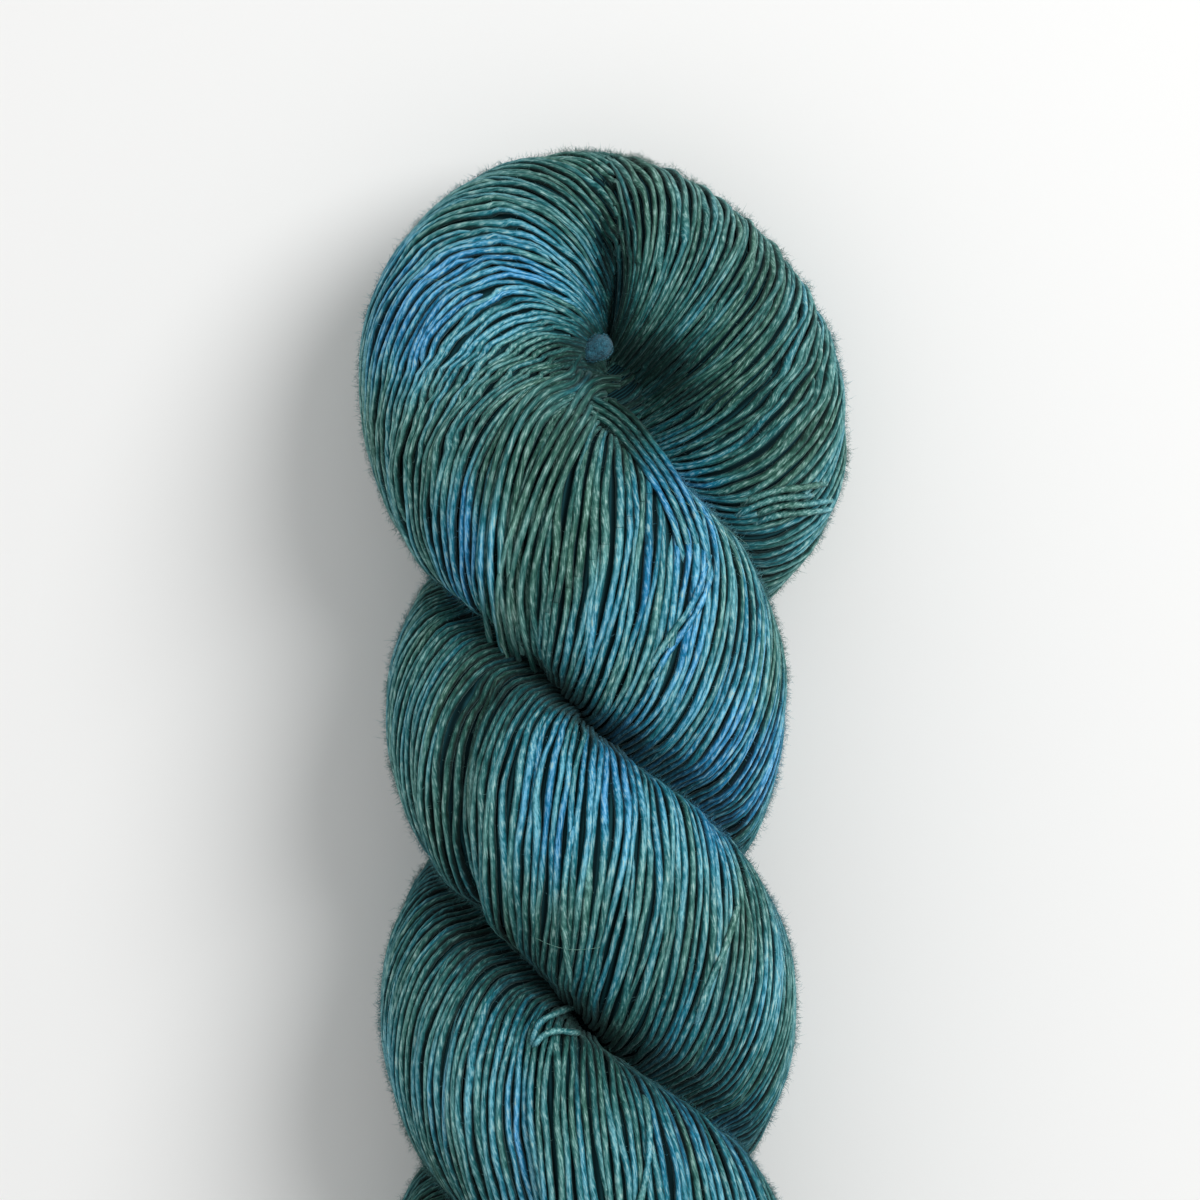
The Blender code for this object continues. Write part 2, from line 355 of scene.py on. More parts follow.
def write_maps(made, maps, marks):
    """Writes UV maps, a pair of numbers for each corner of each face, and attributes, a number for each
    point."""
    for label, values in maps.items():
        made.data.uv_layers.new(name=label).data.foreach_set("uv", values.astype(np.float32).ravel())
    for label, values in marks.items():
        layer = made.data.attributes.new(label, "FLOAT", "POINT")
        layer.data.foreach_set("value", values.astype(np.float32))


def rings_mesh(name, rings, way, turned, closed=False):
    """A tube through rings of points of shape (along, round, 3), capped at its ends unless closed. Its
    map Lay holds the millimetres along the way and the share round, less how far the turns have gone."""
    count, sides = rings.shape[:2]
    ring, side = np.meshgrid(np.arange(count if closed else count - 1), np.arange(sides), indexing="ij")
    corners = [ring, side, ring, side + 1, ring + 1, side + 1, ring + 1, side]
    corners = np.stack(corners, axis=-1).reshape(-1, 2)
    starts = np.arange(len(corners) // 4) * 4
    if not closed:
        around = np.arange(sides)
        first = np.stack([0 * around, around[::-1]], axis=1)
        last = np.stack([0 * around + count - 1, around], axis=1)
        starts = np.concatenate([starts, len(corners) + np.array([0, sides])])
        corners = np.concatenate([corners, first, last])
    loops = corners[:, 0] % count * sides + corners[:, 1] % sides
    made = add_mesh(name, rings.reshape(-1, 3), loops, starts)
    ring = np.minimum(corners[:, 0], count - 1)
    share = corners[:, 1] / sides
    lay = np.stack([way[ring] * 1000, share - turned[ring] / (2 * np.pi)], axis=1)
    bake = 0.01 + 0.98 * np.stack([corners[:, 0] / count, share], axis=1)
    write_maps(made, {"Lay": lay, "OFBake": bake}, {})
    return made


def in_the_hank(piece, material):
    """Gives a piece its material and makes it part of the hank."""
    piece.data.materials.append(material)
    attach(piece, "root")
    return piece


def feed(node, **links):
    """Links a node's sockets, by name or by _number, or gives them a value. A node stands for its first
    output."""
    for key, value in links.items():
        numbered = key[0] == "_" and key[1:].isdigit()
        socket = node.inputs[int(key[1:]) if numbered else key.replace("_", " ")]
        if isinstance(value, bpy.types.Node):
            value = value.outputs[0]
        if isinstance(value, bpy.types.NodeSocket):
            node.id_data.links.new(value, socket)
        else:
            socket.default_value = value


def add_node(nodes, kind, settings=None, **links):
    """One shader node of a kind, with its settings set and its sockets fed."""
    node = nodes.new("ShaderNode" + kind)
    for key, value in (settings or {}).items():
        setattr(node, key, value)
    feed(node, **links)
    return node


def linear(code):
    """A colour written as sRGB hex, as linear red, green, blue and alpha."""
    parts = np.array([int(code[at : at + 2], 16) for at in (1, 3, 5)]) / 255
    return (*np.where(parts <= 0.04045, parts / 12.92, ((parts + 0.055) / 1.055) ** 2.4), 1.0)


def new_material(name, **settings):
    """A new material, whose shader has these settings the same all over: itself, its nodes, its shader."""
    made = bpy.data.materials.new(name)
    made.use_nodes = True
    shader = made.node_tree.nodes["Principled BSDF"]
    feed(shader, **settings)
    return made, made.node_tree.nodes, shader


def floored(points, radius):
    """Yarn that would sink into the surface is pressed flat on it: height = radius + ease log(1 +
    exp((height - radius) / ease))."""
    pressed = points.copy()
    ease = 0.0005
    pressed[..., 2] = radius + ease * np.logaddexp(0, (points[..., 2] - radius) / ease)
    return pressed


def wool_in_painted_shade():
    """Wool deep in the hank, out of the light: the turns under the outer ones, pressed side by side. It
    is matt, and its colour is painted shade: nearly black between the turns, and a deep teal on their
    crests."""
    made, nodes, shader = new_material("pressed wool in painted shade", Roughness=0.95, Specular_IOR_Level=0.1)
    turns_round = 48
    lay = add_node(nodes, "UVMap", {"uv_map": "Lay"})
    share = add_node(nodes, "SeparateXYZ", Vector=lay).outputs["Y"]
    turn = add_node(nodes, "Math", {"operation": "MULTIPLY"}, _0=share, _1=2 * np.pi * turns_round)
    crest = add_node(nodes, "Math", {"operation": "COSINE"}, _0=turn)
    height = add_node(nodes, "MapRange", Value=crest, _1=-1.0, _2=1.0, _3=0.0, _4=1.0)
    shade = add_node(nodes, "Math", {"operation": "POWER"}, _0=height, _1=1.6)
    # Painted shade: nearly black in the gaps between the turns, deep teal on their crests.
    mixed = {"_0": shade, "_6": linear("#061c20"), "_7": linear("#173e44")}
    colour = add_node(nodes, "Mix", {"data_type": "RGBA"}, **mixed)
    bump = add_node(nodes, "Bump", Height=height, Strength=0.8, Distance=0.0004)
    feed(shader, Base_Color=colour.outputs[2], Normal=bump)
    return made


def heart_bundle(way):
    """The short bundle that fills the head's middle and goes on between the legs. Its angles are counted
    from an inner line a metre to its left, so from its right side."""
    sections = sections_at(HEART, way)
    inner = np.stack([sections[:, 0] - 1, -sections[:, 1], sections[:, 2]], axis=1)
    return bundle_of(sections, inner)


def nose_bundle(way):
    """The loop end of one leg, which is pulled out through the collar and bends round at the foot."""
    return bundle_of(sections_at(NOSE, way), np.array([[NOSE[3].side, -COLLAR_DOWN, COLLAR_HEIGHT]]))


def collar_bundle(way, closed=False):
    """The loop end of the other leg, a slanting ring: side = reach cos(angle), height = lift sin(angle),
    down = side tan(slant)."""
    angle = way / COLLAR_REACH - np.pi / 2
    side = COLLAR_REACH * np.cos(angle)
    height = COLLAR_HEIGHT + COLLAR_LIFT * np.sin(angle)
    down = COLLAR_DOWN + side * np.tan(COLLAR_SLANT)
    full = np.ones(len(way))
    sections = [AXIS_SIDE + side, down, height, COLLAR_DEEP * full, COLLAR_WIDE * full]
    inner = np.stack([AXIS_SIDE * full, -down, COLLAR_HEIGHT * full], axis=1)
    return bundle_of(np.stack(sections, axis=1), inner, closed)


APART = 0.040  # two places of the bundle further apart than this, along it, can press each other
FAR_OFF = 9.0  # a nearness that stands for nothing near


def nearness(points, way):
    """How near points on the long bundle lie to another stretch of it: the smallest of
    sqrt((out / deep)² + (over / wide)²) - 1 over the sections more than APART along the way."""
    flat = points.reshape(-1, 3)
    own = np.broadcast_to(way, points.shape[:-1]).reshape(-1)
    found = np.full(len(flat), FAR_OFF)
    tests = np.linspace(0, KNOTS[-1], 300)
    beside = 0.8 * (tests[1] - tests[0])
    bundle = long_bundle(tests)
    for at, here in enumerate(tests):
        offset = flat - bundle.middle[at]
        near = np.abs(offset @ bundle.along[at]) < beside
        near &= np.abs(own - here) > APART
        out = offset[near] @ bundle.outward[at] / bundle.deep[at]
        over = offset[near] @ bundle.across[at] / bundle.wide[at]
        found[near] = np.minimum(found[near], np.hypot(out, over) - 1)
    return found.reshape(points.shape[:-1])


GROOVE_DEPTH = 0.0014  # the groove where two legs meet
GROOVE_WIDTH = 0.15  # as a share of a leg's half size


def drawn_in(points, normal, near):
    """The legs press each other round where they meet, so the groove between them is deep: points go
    in by GROOVE_DEPTH exp(-(near / GROOVE_WIDTH)²)."""
    depth = GROOVE_DEPTH * np.exp(-((np.maximum(near, 0) / GROOVE_WIDTH) ** 2))
    return points - normal * depth[..., None]


# Valleys between groups of turns: from and to where on the bundle, in metres along the way and
# degrees round it, and how deep and wide.
Fold = collections.namedtuple("Fold", "way_from angle_from way_to angle_to depth width")
FOLDS = [
    Fold(0.1885, 80, 0.1710, -59, 0.0032, 0.0015),
    Fold(0.4820, 262, 0.5000, 376, 0.0022, 0.0014),
]


def folded_by(way, angle):
    """How deep the folds press each place: depth exp(-(distance / width)²), where the distance is to
    the fold's line, with the angle counted as an arc of the bundle's mean radius."""
    total = np.zeros(angle.shape)
    arc = (LEG_DEEP + LEG_WIDE) / 2
    for fold in FOLDS:
        run = np.array([fold.way_to - fold.way_from, np.radians(fold.angle_to - fold.angle_from) * arc])
        along = way - fold.way_from + 0 * angle
        turn = np.mod(angle - np.radians((fold.angle_from + fold.angle_to) / 2) + np.pi, 2 * np.pi) - np.pi
        around = (turn + np.radians(fold.angle_to - fold.angle_from) / 2) * arc
        share = np.clip((along * run[0] + around * run[1]) / (run @ run), 0, 1)
        apart = (along - share * run[0]) ** 2 + (around - share * run[1]) ** 2
        total += fold.depth * np.exp(-apart / fold.width**2)
    return total


# How fast the turns go round the bundle, in radians for each metre of its way.
Lay = collections.namedtuple("Lay", "way rate")
LAYS = [
    Lay(0, 125),
    Lay(0.150, 125),
    Lay(0.172, 143),
    Lay(RIGHT_BACK, 140),
    Lay(RIGHT_SIDE - 0.016, 160),
    Lay(RIGHT_SIDE - 0.008, 105),
    Lay(RIGHT_SIDE, 100),
    Lay(RIGHT_SIDE + 0.006, 140),
    Lay(RIGHT_SIDE + 0.012, 230),
    Lay(RIGHT_SIDE + 0.018, 390),
    Lay(TOP - 0.0005, 430),
    Lay(TOP + 0.0005, 190),
    Lay(TOP + 0.008, 150),
    Lay(TOP + 0.014, 100),
    Lay(TOP + 0.020, 50),
    Lay(LEFT_SIDE, 30),
    Lay(LEFT_SIDE + 0.006, 56),
    Lay(LEFT_SIDE + 0.012, 103),
    Lay(LEFT_SIDE + 0.018, 146),
    Lay(LEFT_SIDE + 0.026, 185),
    Lay(LEFT_FRONT, 155),
    Lay(LEFT_FRONT + 0.030, 135),
    Lay(0.484, 125),
    Lay(0.496, 108),
    Lay(KNOTS[-1], 110),
]
HEART_LAYS = [Lay(0, 210), Lay(1, 210)]
NOSE_LAYS = [Lay(0, 40), Lay(1, 40)]
COLLAR_LAYS = [Lay(0, 50), Lay(1, 50)]


def running_total(values, way):
    """The sum of values along a way: each step times the mean of the values at its two ends."""
    return np.concatenate([[0], np.cumsum((values[1:] + values[:-1]) / 2 * np.diff(way))])


def turned_at(way, lays):
    """How far round the turns have gone at each distance along the way: the sum of the rate."""
    fine = np.linspace(0, lays[-1].way, 2400)
    return np.interp(way, fine, running_total(np.interp(fine, *np.array(lays).T), fine))


INSIDE_DEPTH = 0.0011  # from the hank's outer surface to the dark yarn between its outer turns
INSIDE_REST = 0.0006  # how near the inside comes to the surface that the hank lies on


def inside_rings(bundle, sides=24):
    """The skin under the outer turns of a bundle, as rings."""
    angle = all_round(sides, len(bundle.deep))
    return np.swapaxes(floored(on_bundle(bundle, angle, INSIDE_DEPTH), INSIDE_REST), 0, 1)


def inside_long(way, sides=48):
    """The skin under the outer turns of the long bundle, with the same creases, grooves and folds."""
    bundle = long_bundle(way)
    angle = all_round(sides, len(way))
    points = on_bundle(bundle, angle, INSIDE_DEPTH)
    normal = skin_normal(bundle, angle)
    points = drawn_in(points - normal * folded_by(way, angle)[..., None], normal, nearness(points, way))
    points = folded_head(points, bundle, angle, way)
    return np.swapaxes(floored(hollowed(creased(points)), INSIDE_REST), 0, 1)


long_way = np.linspace(0.001, KNOTS[-1] - 0.001, 360)
heart_way = np.linspace(0, spline_knots(HEART)[-1], 60)
nose_way = np.linspace(0, spline_knots(NOSE)[-1], 60)
COLLAR_ROUND = 2 * np.pi * COLLAR_REACH
collar_way = np.arange(60) * COLLAR_ROUND / 60
Inside = collections.namedtuple("Inside", "label rings way lays closed")
INSIDES = [
    Inside("inside_long", inside_long(long_way), long_way, LAYS, False),
    Inside("inside_heart", inside_rings(heart_bundle(heart_way)), heart_way, HEART_LAYS, False),
    Inside("inside_nose", inside_rings(nose_bundle(nose_way)), nose_way, NOSE_LAYS, False),
    Inside("inside_collar", inside_rings(collar_bundle(collar_way, True)), collar_way, COLLAR_LAYS, True),
]
PRESSED_WOOL_IN_SHADE = wool_in_painted_shade()
for inside in INSIDES:
    turned = turned_at(inside.way, inside.lays)
    made = rings_mesh(inside.label, inside.rings, inside.way, turned, inside.closed)
    in_the_hank(made, PRESSED_WOOL_IN_SHADE)
    if inside.label == "inside_long":
        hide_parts("hank")

# --- The outer turns -----------------------------------------------------------------------------
# Each turn is a soft single of merino wool, spun in one ply and dyed by hand in teal and blue. The
# turns lie side by side round the bundle and go round it as the hank is twisted.
YARN_RADIUS = 0.00066
SPACING = 0.00119  # from one turn to the next, across them
SIDES = 6  # of each turn's surface, and how far it is from one ring of them to the next
STEP = 0.0020
rng = np.random.default_rng(11)
Waves = collections.namedtuple("Waves", "shortest longest size")


def wander(rows, length, waves):
    """Soft unevenness of each row along a length: a sum of sines of random phase whose wave lengths
    lie between the shortest and the longest."""
    total = np.zeros((rows, len(length)))
    sines = 5
    for share in np.linspace(0, 1, sines):
        wave = waves.shortest * (waves.longest / waves.shortest) ** share * rng.uniform(0.8, 1.25, (rows, 1))
        total += np.sin(2 * np.pi * (length / wave + rng.uniform(0, 1, (rows, 1))))
    return waves.size * total / np.sqrt(sines / 2)


# Turns side by side, a row each, and the rings of their surfaces along them: the ring's middle, which
# way is out, its radius, whether it shows, the yarn's length so far, how near another stretch of the
# bundle lies, how far along the bundle it is, how blue and how light.
Turns = collections.namedtuple("Turns", "centre normal radius shown length near way blue tone")


# Where the dye took differently on the side that faces up, and where shade is painted on it in the
# hollow, the crease, the fold and the grooves: the middle of each patch, half its size, and how much
# bluer and lighter it is.
Patch = collections.namedtuple("Patch", "side down half_side half_down blue tone")
PATCHES = [
    # Bluer pools of dye.
    Patch(-0.014, 0.020, 0.015, 0.008, 0.58, 0.00),
    Patch(-0.030, 0.030, 0.009, 0.012, 0.50, 0.05),
    Patch(-0.022, 0.063, 0.0035, 0.014, 0.70, 0.15),
    Patch(0.013, 0.074, 0.012, 0.032, 0.45, 0.20),
    Patch(0.0110, 0.0540, 0.0080, 0.0100, 0.45, 0.00),
    Patch(0.022, 0.098, 0.008, 0.011, 0.80, 0.00),
    Patch(-0.005, 0.100, 0.012, 0.015, 0.45, 0.17),
    Patch(-0.014, 0.152, 0.005, 0.018, 0.45, 0.10),
    Patch(0.012, 0.156, 0.013, 0.013, 0.40, 0.05),
    # Greener and darker places: the head's right side; and the hollow, the crease, the fold and the
    # grooves, where the darkening is painted shade.
    Patch(0.024, 0.037, 0.018, 0.028, -0.28, -0.48),
    Patch(-0.002, 0.004, 0.013, 0.009, -0.20, -0.30),
    Patch(-0.014, 0.048, 0.014, 0.016, -0.25, -0.28),
    Patch(0.0066, 0.0365, 0.0090, 0.0110, -0.10, -0.85),
    Patch(-0.0035, 0.0345, 0.0060, 0.0035, -0.10, -0.45),
    Patch(-0.0230, 0.0850, 0.0090, 0.0120, -0.15, -0.25),
    Patch(-0.0080, 0.0700, 0.0050, 0.0130, -0.30, -0.25),
    Patch(0.0160, 0.1280, 0.0120, 0.0140, 0.10, -0.06),
    Patch(0.0016, 0.0220, 0.0034, 0.0140, -0.05, -0.65),
    Patch(0.010, 0.135, 0.018, 0.020, -0.10, -0.05),
    Patch(-0.0045, 0.0310, 0.0050, 0.0055, 0.05, -0.45),
    Patch(-0.0150, 0.0868, 0.0065, 0.0070, -0.12, -0.42),
    Patch(-0.0213, 0.1015, 0.0028, 0.0180, -0.10, -0.30),
    Patch(-0.0211, 0.1255, 0.0060, 0.0060, 0.00, -0.35),
    Patch(-0.0141, 0.1310, 0.0055, 0.0045, 0.00, -0.35),
    Patch(-0.0050, 0.1375, 0.0060, 0.0035, 0.00, -0.30),
    Patch(0.0055, 0.1440, 0.0060, 0.0035, 0.00, -0.20),
    Patch(0.0175, 0.1410, 0.0070, 0.0060, 0.00, -0.20),
]

# The bath also took unevenly all through the hank: waves of these lengths, at these slants.
POOLS = [(0.047, 0.4), (0.031, 1.3), (0.023, 2.2), (0.017, 2.9)]
POOL_BLUE = 0.06
POOL_TONE = 0.05
# The dye without patches and pools, and how it wanders along each turn.
PLAIN_BLUE = 0.30
PLAIN_TONE = 0.97
BLUE_WAVES = Waves(0.025, 0.150, 0.10)
TONE_WAVES = Waves(0.005, 0.060, 0.13)
STREAK_WAVES = Waves(0.020, 0.120, 0.35)
# Patches show from this height up, and fully this much higher.
PATCH_HEIGHT = 0.018
PATCH_RISE = 0.012

# How far out of the grooves the painted shade reaches, at each distance down: further towards the foot.
GROOVE_DOWN = [0.066, 0.086, 0.105, 0.120]
GROOVE_REACH = [0.30, 0.39, 0.39, 0.61]
GROOVE_SHADE = 0.80


def dyed(turns):
    """How blue each ring of each turn is, from 0, green teal, to 1, blue, and how light it is: its own
    tone with painted shade in it. Each patch adds its share times exp(-distance²), more on some turns than
    on others; the darker patches in the hollow, the crease, the fold and the grooves are painted shade. In
    the grooves the light falls off by GROOVE_SHADE exp(-(near / reach)²), which is painted shade too."""
    rows = turns.centre.shape[0]
    side, down, height = turns.centre[..., 0], -turns.centre[..., 1], turns.centre[..., 2]
    facing_up = np.clip((height - PATCH_HEIGHT) / PATCH_RISE, 0, 1)
    blue = PLAIN_BLUE + wander(rows, turns.length, BLUE_WAVES)
    tone = PLAIN_TONE + wander(rows, turns.length, TONE_WAVES)
    for wave, slant in POOLS:
        place = side * np.cos(slant) - down * np.sin(slant) + height * 0.6
        phase = 2 * np.pi * place / wave
        blue += POOL_BLUE * np.sin(phase + 7 * slant)
        tone += POOL_TONE * np.cos(phase * 1.3 + slant)
    streak = np.clip(1 + wander(rows, turns.length, STREAK_WAVES), 0, 2)
    for patch in PATCHES:
        aside = (side - patch.side) / patch.half_side
        ahead = (down - patch.down) / patch.half_down
        share = facing_up * np.exp(-(aside**2 + ahead**2))
        blue += patch.blue * share * streak
        tone += patch.tone * share
    reach = np.interp(down, GROOVE_DOWN, GROOVE_REACH)
    tone *= 1 - GROOVE_SHADE * np.exp(-((np.maximum(turns.near, 0) / reach) ** 2))
    return turns._replace(blue=np.clip(blue, 0, 1), tone=np.clip(tone, 0.15, 2))


def softened(row, spread, reach):
    """A row of values, each averaged with its neighbours with the weight exp(-(steps away / spread)²)."""
    weight = np.exp(-((np.arange(-reach, reach + 1) / spread) ** 2))
    return np.convolve(np.pad(row, reach, mode="edge"), weight / weight.sum(), mode="valid")


NUDGE = 1e-3  # a small angle, to find how fast points move round a bundle


def round_by_angle(bundle, angle):
    """How far points just under the skin move for each radian round the bundle."""
    return (on_bundle(bundle, angle + NUDGE, YARN_RADIUS) - on_bundle(bundle, angle, YARN_RADIUS)) / NUDGE


PROBES = np.radians(np.linspace(-105, 105, 22))  # angles of a bundle's open side
FINE = 1200  # places along a bundle where its turns are counted
FEWEST = 14  # turns that show at any place
COUNT_EASE = 0.008  # of the way, over which their number changes softly
FOLD_NEAR = 0.004  # how far from the fold of the head rings stand closer, and how much closer
FOLD_RINGS = 2.0


def spaced_rings(bundle_at, way_end, lays, most, folded):
    """Where the rings of the turns stand along a bundle, how long the yarn is up to there, and how many
    turns fill the way round: 2 pi times the room across them for each radian, over SPACING. Past the
    fold of the head the count starts afresh, and rings stand closer there."""
    fine = np.linspace(0, way_end, FINE)
    bundle = bundle_at(fine)
    probe = np.repeat(PROBES[:, None], FINE, axis=1)
    with_way = np.gradient(on_bundle(bundle, probe, YARN_RADIUS), fine, axis=1)
    with_angle = round_by_angle(bundle, probe)
    heading = with_way + np.interp(fine, *np.array(lays).T)[:, None] * with_angle
    speed = np.linalg.norm(heading, axis=2)
    across = np.linalg.norm(np.cross(with_angle, heading), axis=2) / speed
    wanted = np.clip(2 * np.pi * across.mean(axis=0) / SPACING, FEWEST, most)
    spread = COUNT_EASE * FINE / way_end
    parts = [wanted[fine <= folded], wanted[fine > folded]]
    wanted = np.concatenate([softened(part, spread, reach=60) for part in parts if len(part)])
    length = running_total(speed.mean(axis=0), fine)
    closer = 1 + FOLD_RINGS * np.exp(-(((fine[1:] - folded) / FOLD_NEAR) ** 2))
    rings = np.concatenate([[0], np.cumsum(np.diff(length) * closer)])
    way = np.interp(np.linspace(0, rings[-1], int(rings[-1] / STEP)), rings, fine)
    return way, np.interp(way, fine, length), np.interp(way, fine, wanted)


def beside_it(shown):
    """Whether the ring before and the ring after each one are shown."""
    return np.pad(shown, ((0, 0), (1, 0)))[:, :-1], np.pad(shown, ((0, 0), (0, 1)))[:, 1:]


GOLDEN = 0.6180339887  # the golden share puts turns that sink one after another far apart
SINKING = 4  # turns on their way in or out, where the number of turns that show changes
SLIVER = 0.02  # of a turn's room, which a turn that doesn't show still takes
ROOM_WAVES = Waves(0.060, 0.300, 0.09)
STRAY_WAVES = Waves(0.020, 0.090, 0.19)  # as a share of the room from one turn to the next
QUIVER_WAVES = Waves(0.007, 0.018, 0.045)
THICKNESS_WAVES = Waves(0.006, 0.030, 0.06)
SINK_WAVES = Waves(0.030, 0.120, 0.7)
SINK_FROM = 0.3  # a turn sinks where its wave is over this, by this depth and with this much less light
SINK_STEP = 0.00030
SINK_SHADE = 0.3
BUNCHES = [(6, 0.19, 0), (9, -0.31, 2)]  # how many round the bundle, the wave along it, and its phase
BUNCH_STEP = 0.00018
RADIUS_SHARE = 0.485  # of the room that a turn has
THINNEST = 0.65  # of the yarn's radius
THICKEST = 1.4
END_SHARE = 0.3  # of its radius that is left where a turn goes in
SUNK_DEPTH = 0.0022  # how deep a turn goes where it doesn't show
HIDDEN = -0.34  # turns nearer than this to another stretch of the bundle are inside it
PRESSED_SHARE = 0.9  # of a turn's radius, how high its middle stays over the surface


def lay_turns(bundle_at, way_end, lays, most, folded=-1.0):
    """The outer turns of a bundle. Turn i lies at angle start(i) + the sum of the rate along the way.
    As many turns show as fill the way round at each section; the others have sunk inside."""
    way, length, wanted = spaced_rings(bundle_at, way_end, lays, most, folded)
    order = (np.arange(most) * GOLDEN) % 1.0
    shown = np.clip((wanted[None] / most - order[:, None]) * most / SINKING + 0.5, 0, 1)
    shown = shown * shown * (3 - 2 * shown)
    # Each turn takes a share of the way round that wanders, and strays a little from its own place.
    weight = (shown + SLIVER) * np.exp(wander(most, length, ROOM_WAVES))
    spread = (np.cumsum(weight, axis=0) - weight / 2) / weight.sum(axis=0)
    stray = wander(most, length, STRAY_WAVES) + wander(most, length, QUIVER_WAVES)
    angle = 2 * np.pi * spread + turned_at(way, lays) + stray * (2 * np.pi / wanted)
    bundle = bundle_at(way)
    heading = unit(np.gradient(on_bundle(bundle, angle, YARN_RADIUS), axis=1))
    across = np.linalg.norm(np.cross(round_by_angle(bundle, angle), heading), axis=2)
    room = across * 2 * np.pi * weight / weight.sum(axis=0)
    radius = np.clip(RADIUS_SHARE * room, THINNEST * YARN_RADIUS, THICKEST * YARN_RADIUS)
    radius = radius * (1 + wander(most, length, THICKNESS_WAVES))
    # Turns lie higher and lower in bunches, and here and there one sinks between its neighbours.
    bunch = sum(np.sin(2 * np.pi * (many * spread + length / wave) + phase) for many, wave, phase in BUNCHES)
    sunk = np.clip(wander(most, length, SINK_WAVES) - SINK_FROM, 0, 1.5)
    depth = radius + SINK_STEP * sunk + BUNCH_STEP * bunch + (1 - shown) * SUNK_DEPTH
    normal = skin_normal(bundle, angle)
    centre = on_bundle(bundle, angle, depth)
    near = np.full(angle.shape, FAR_OFF)
    if folded > 0:
        centre = centre - normal * folded_by(way, angle)[..., None]
        near = nearness(centre, way)
        centre = creased(drawn_in(centre, normal, near))
        centre = hollowed(folded_head(centre, bundle, angle, way))
    shown = (shown > SLIVER) & (near > HIDDEN)
    before, after = beside_it(shown)
    radius = radius * np.where(shown & before & after, 1.0, END_SHARE)
    centre = floored(centre, radius * PRESSED_SHARE)
    turns = dyed(Turns(centre, normal, radius, shown, length, near, way, None, None))
    return turns._replace(tone=turns.tone * (1 - SINK_SHADE * sunk))


PATTERN_SHIFT = 53.1  # millimetres of pattern between one turn and the next, so that no two look alike


def tubes_mesh(name, turns, sides):
    """Round tubes along many turns at once: ring point = centre + radius (cos normal + sin binormal).
    A run of kept rings is one tube, capped at its two ends. UV map Strand holds the length in
    millimetres and the way round; OFBake gives each turn a row of its own."""
    before, after = beside_it(turns.shown)
    keep = turns.shown & (before | after)
    before, after = beside_it(keep)
    along = unit(np.gradient(turns.centre, axis=1))
    binormal = unit(np.cross(along, turns.normal))
    normal = np.cross(binormal, along)
    angle = np.arange(sides) * 2 * np.pi / sides
    ring = np.cos(angle)[:, None] * normal[..., None, :] + np.sin(angle)[:, None] * binormal[..., None, :]
    points = (turns.centre[..., None, :] + turns.radius[..., None, None] * ring)[keep]
    number = np.cumsum(keep).reshape(keep.shape) - 1
    joined = keep[:, :-1] & keep[:, 1:]
    first, second = number[:, :-1][joined][:, None] * sides, number[:, 1:][joined][:, None] * sides
    side, beside = np.arange(sides), (np.arange(sides) + 1) % sides
    quads = np.stack([first + side, first + beside, second + beside, second + side], axis=-1)
    run_starts, run_ends = keep & ~before, keep & ~after
    caps = [number[run_starts][:, None] * sides + side[::-1], number[run_ends][:, None] * sides + side]
    caps = np.concatenate(caps)
    loops = np.concatenate([quads.ravel(), caps.ravel()])
    starts = [np.arange(quads.shape[0] * sides) * 4, quads.size + np.arange(len(caps)) * sides]
    made = add_mesh(name, points.reshape(-1, 3), loops, np.concatenate(starts))
    millimetres = turns.length * 1000
    rows, columns = np.nonzero(joined)
    corner_round = np.stack([side, side + 1, side + 1, side], axis=-1) / sides
    corner_length = np.stack([millimetres[columns]] * 2 + [millimetres[columns + 1]] * 2, axis=-1)
    strand = np.stack(np.broadcast_arrays(corner_length[:, None], corner_round[None]), axis=-1)
    cap_rows, cap_columns = np.concatenate([np.nonzero(run_starts), np.nonzero(run_ends)], axis=1)
    cap_length = millimetres[cap_columns][:, None]
    cap_strand = np.stack(np.broadcast_arrays(cap_length, side[None] / sides), axis=-1)
    strand = np.concatenate([strand.reshape(-1, 2), cap_strand.reshape(-1, 2)])
    row = np.concatenate([np.repeat(rows, sides * 4), np.repeat(cap_rows, sides)])
    used = millimetres[keep.any(axis=0)]
    share = (strand[:, 0] - used[0]) / (used[-1] - used[0])
    bake = [0.02 + 0.96 * share, (row + 0.05 + 0.9 * strand[:, 1]) / len(keep)]
    strand[:, 0] += PATTERN_SHIFT * row
    marks = {"blue": np.repeat(turns.blue[keep], sides), "tone": np.repeat(turns.tone[keep], sides)}
    write_maps(made, {"Strand": strand, "OFBake": np.stack(bake, axis=-1)}, marks)
    return made


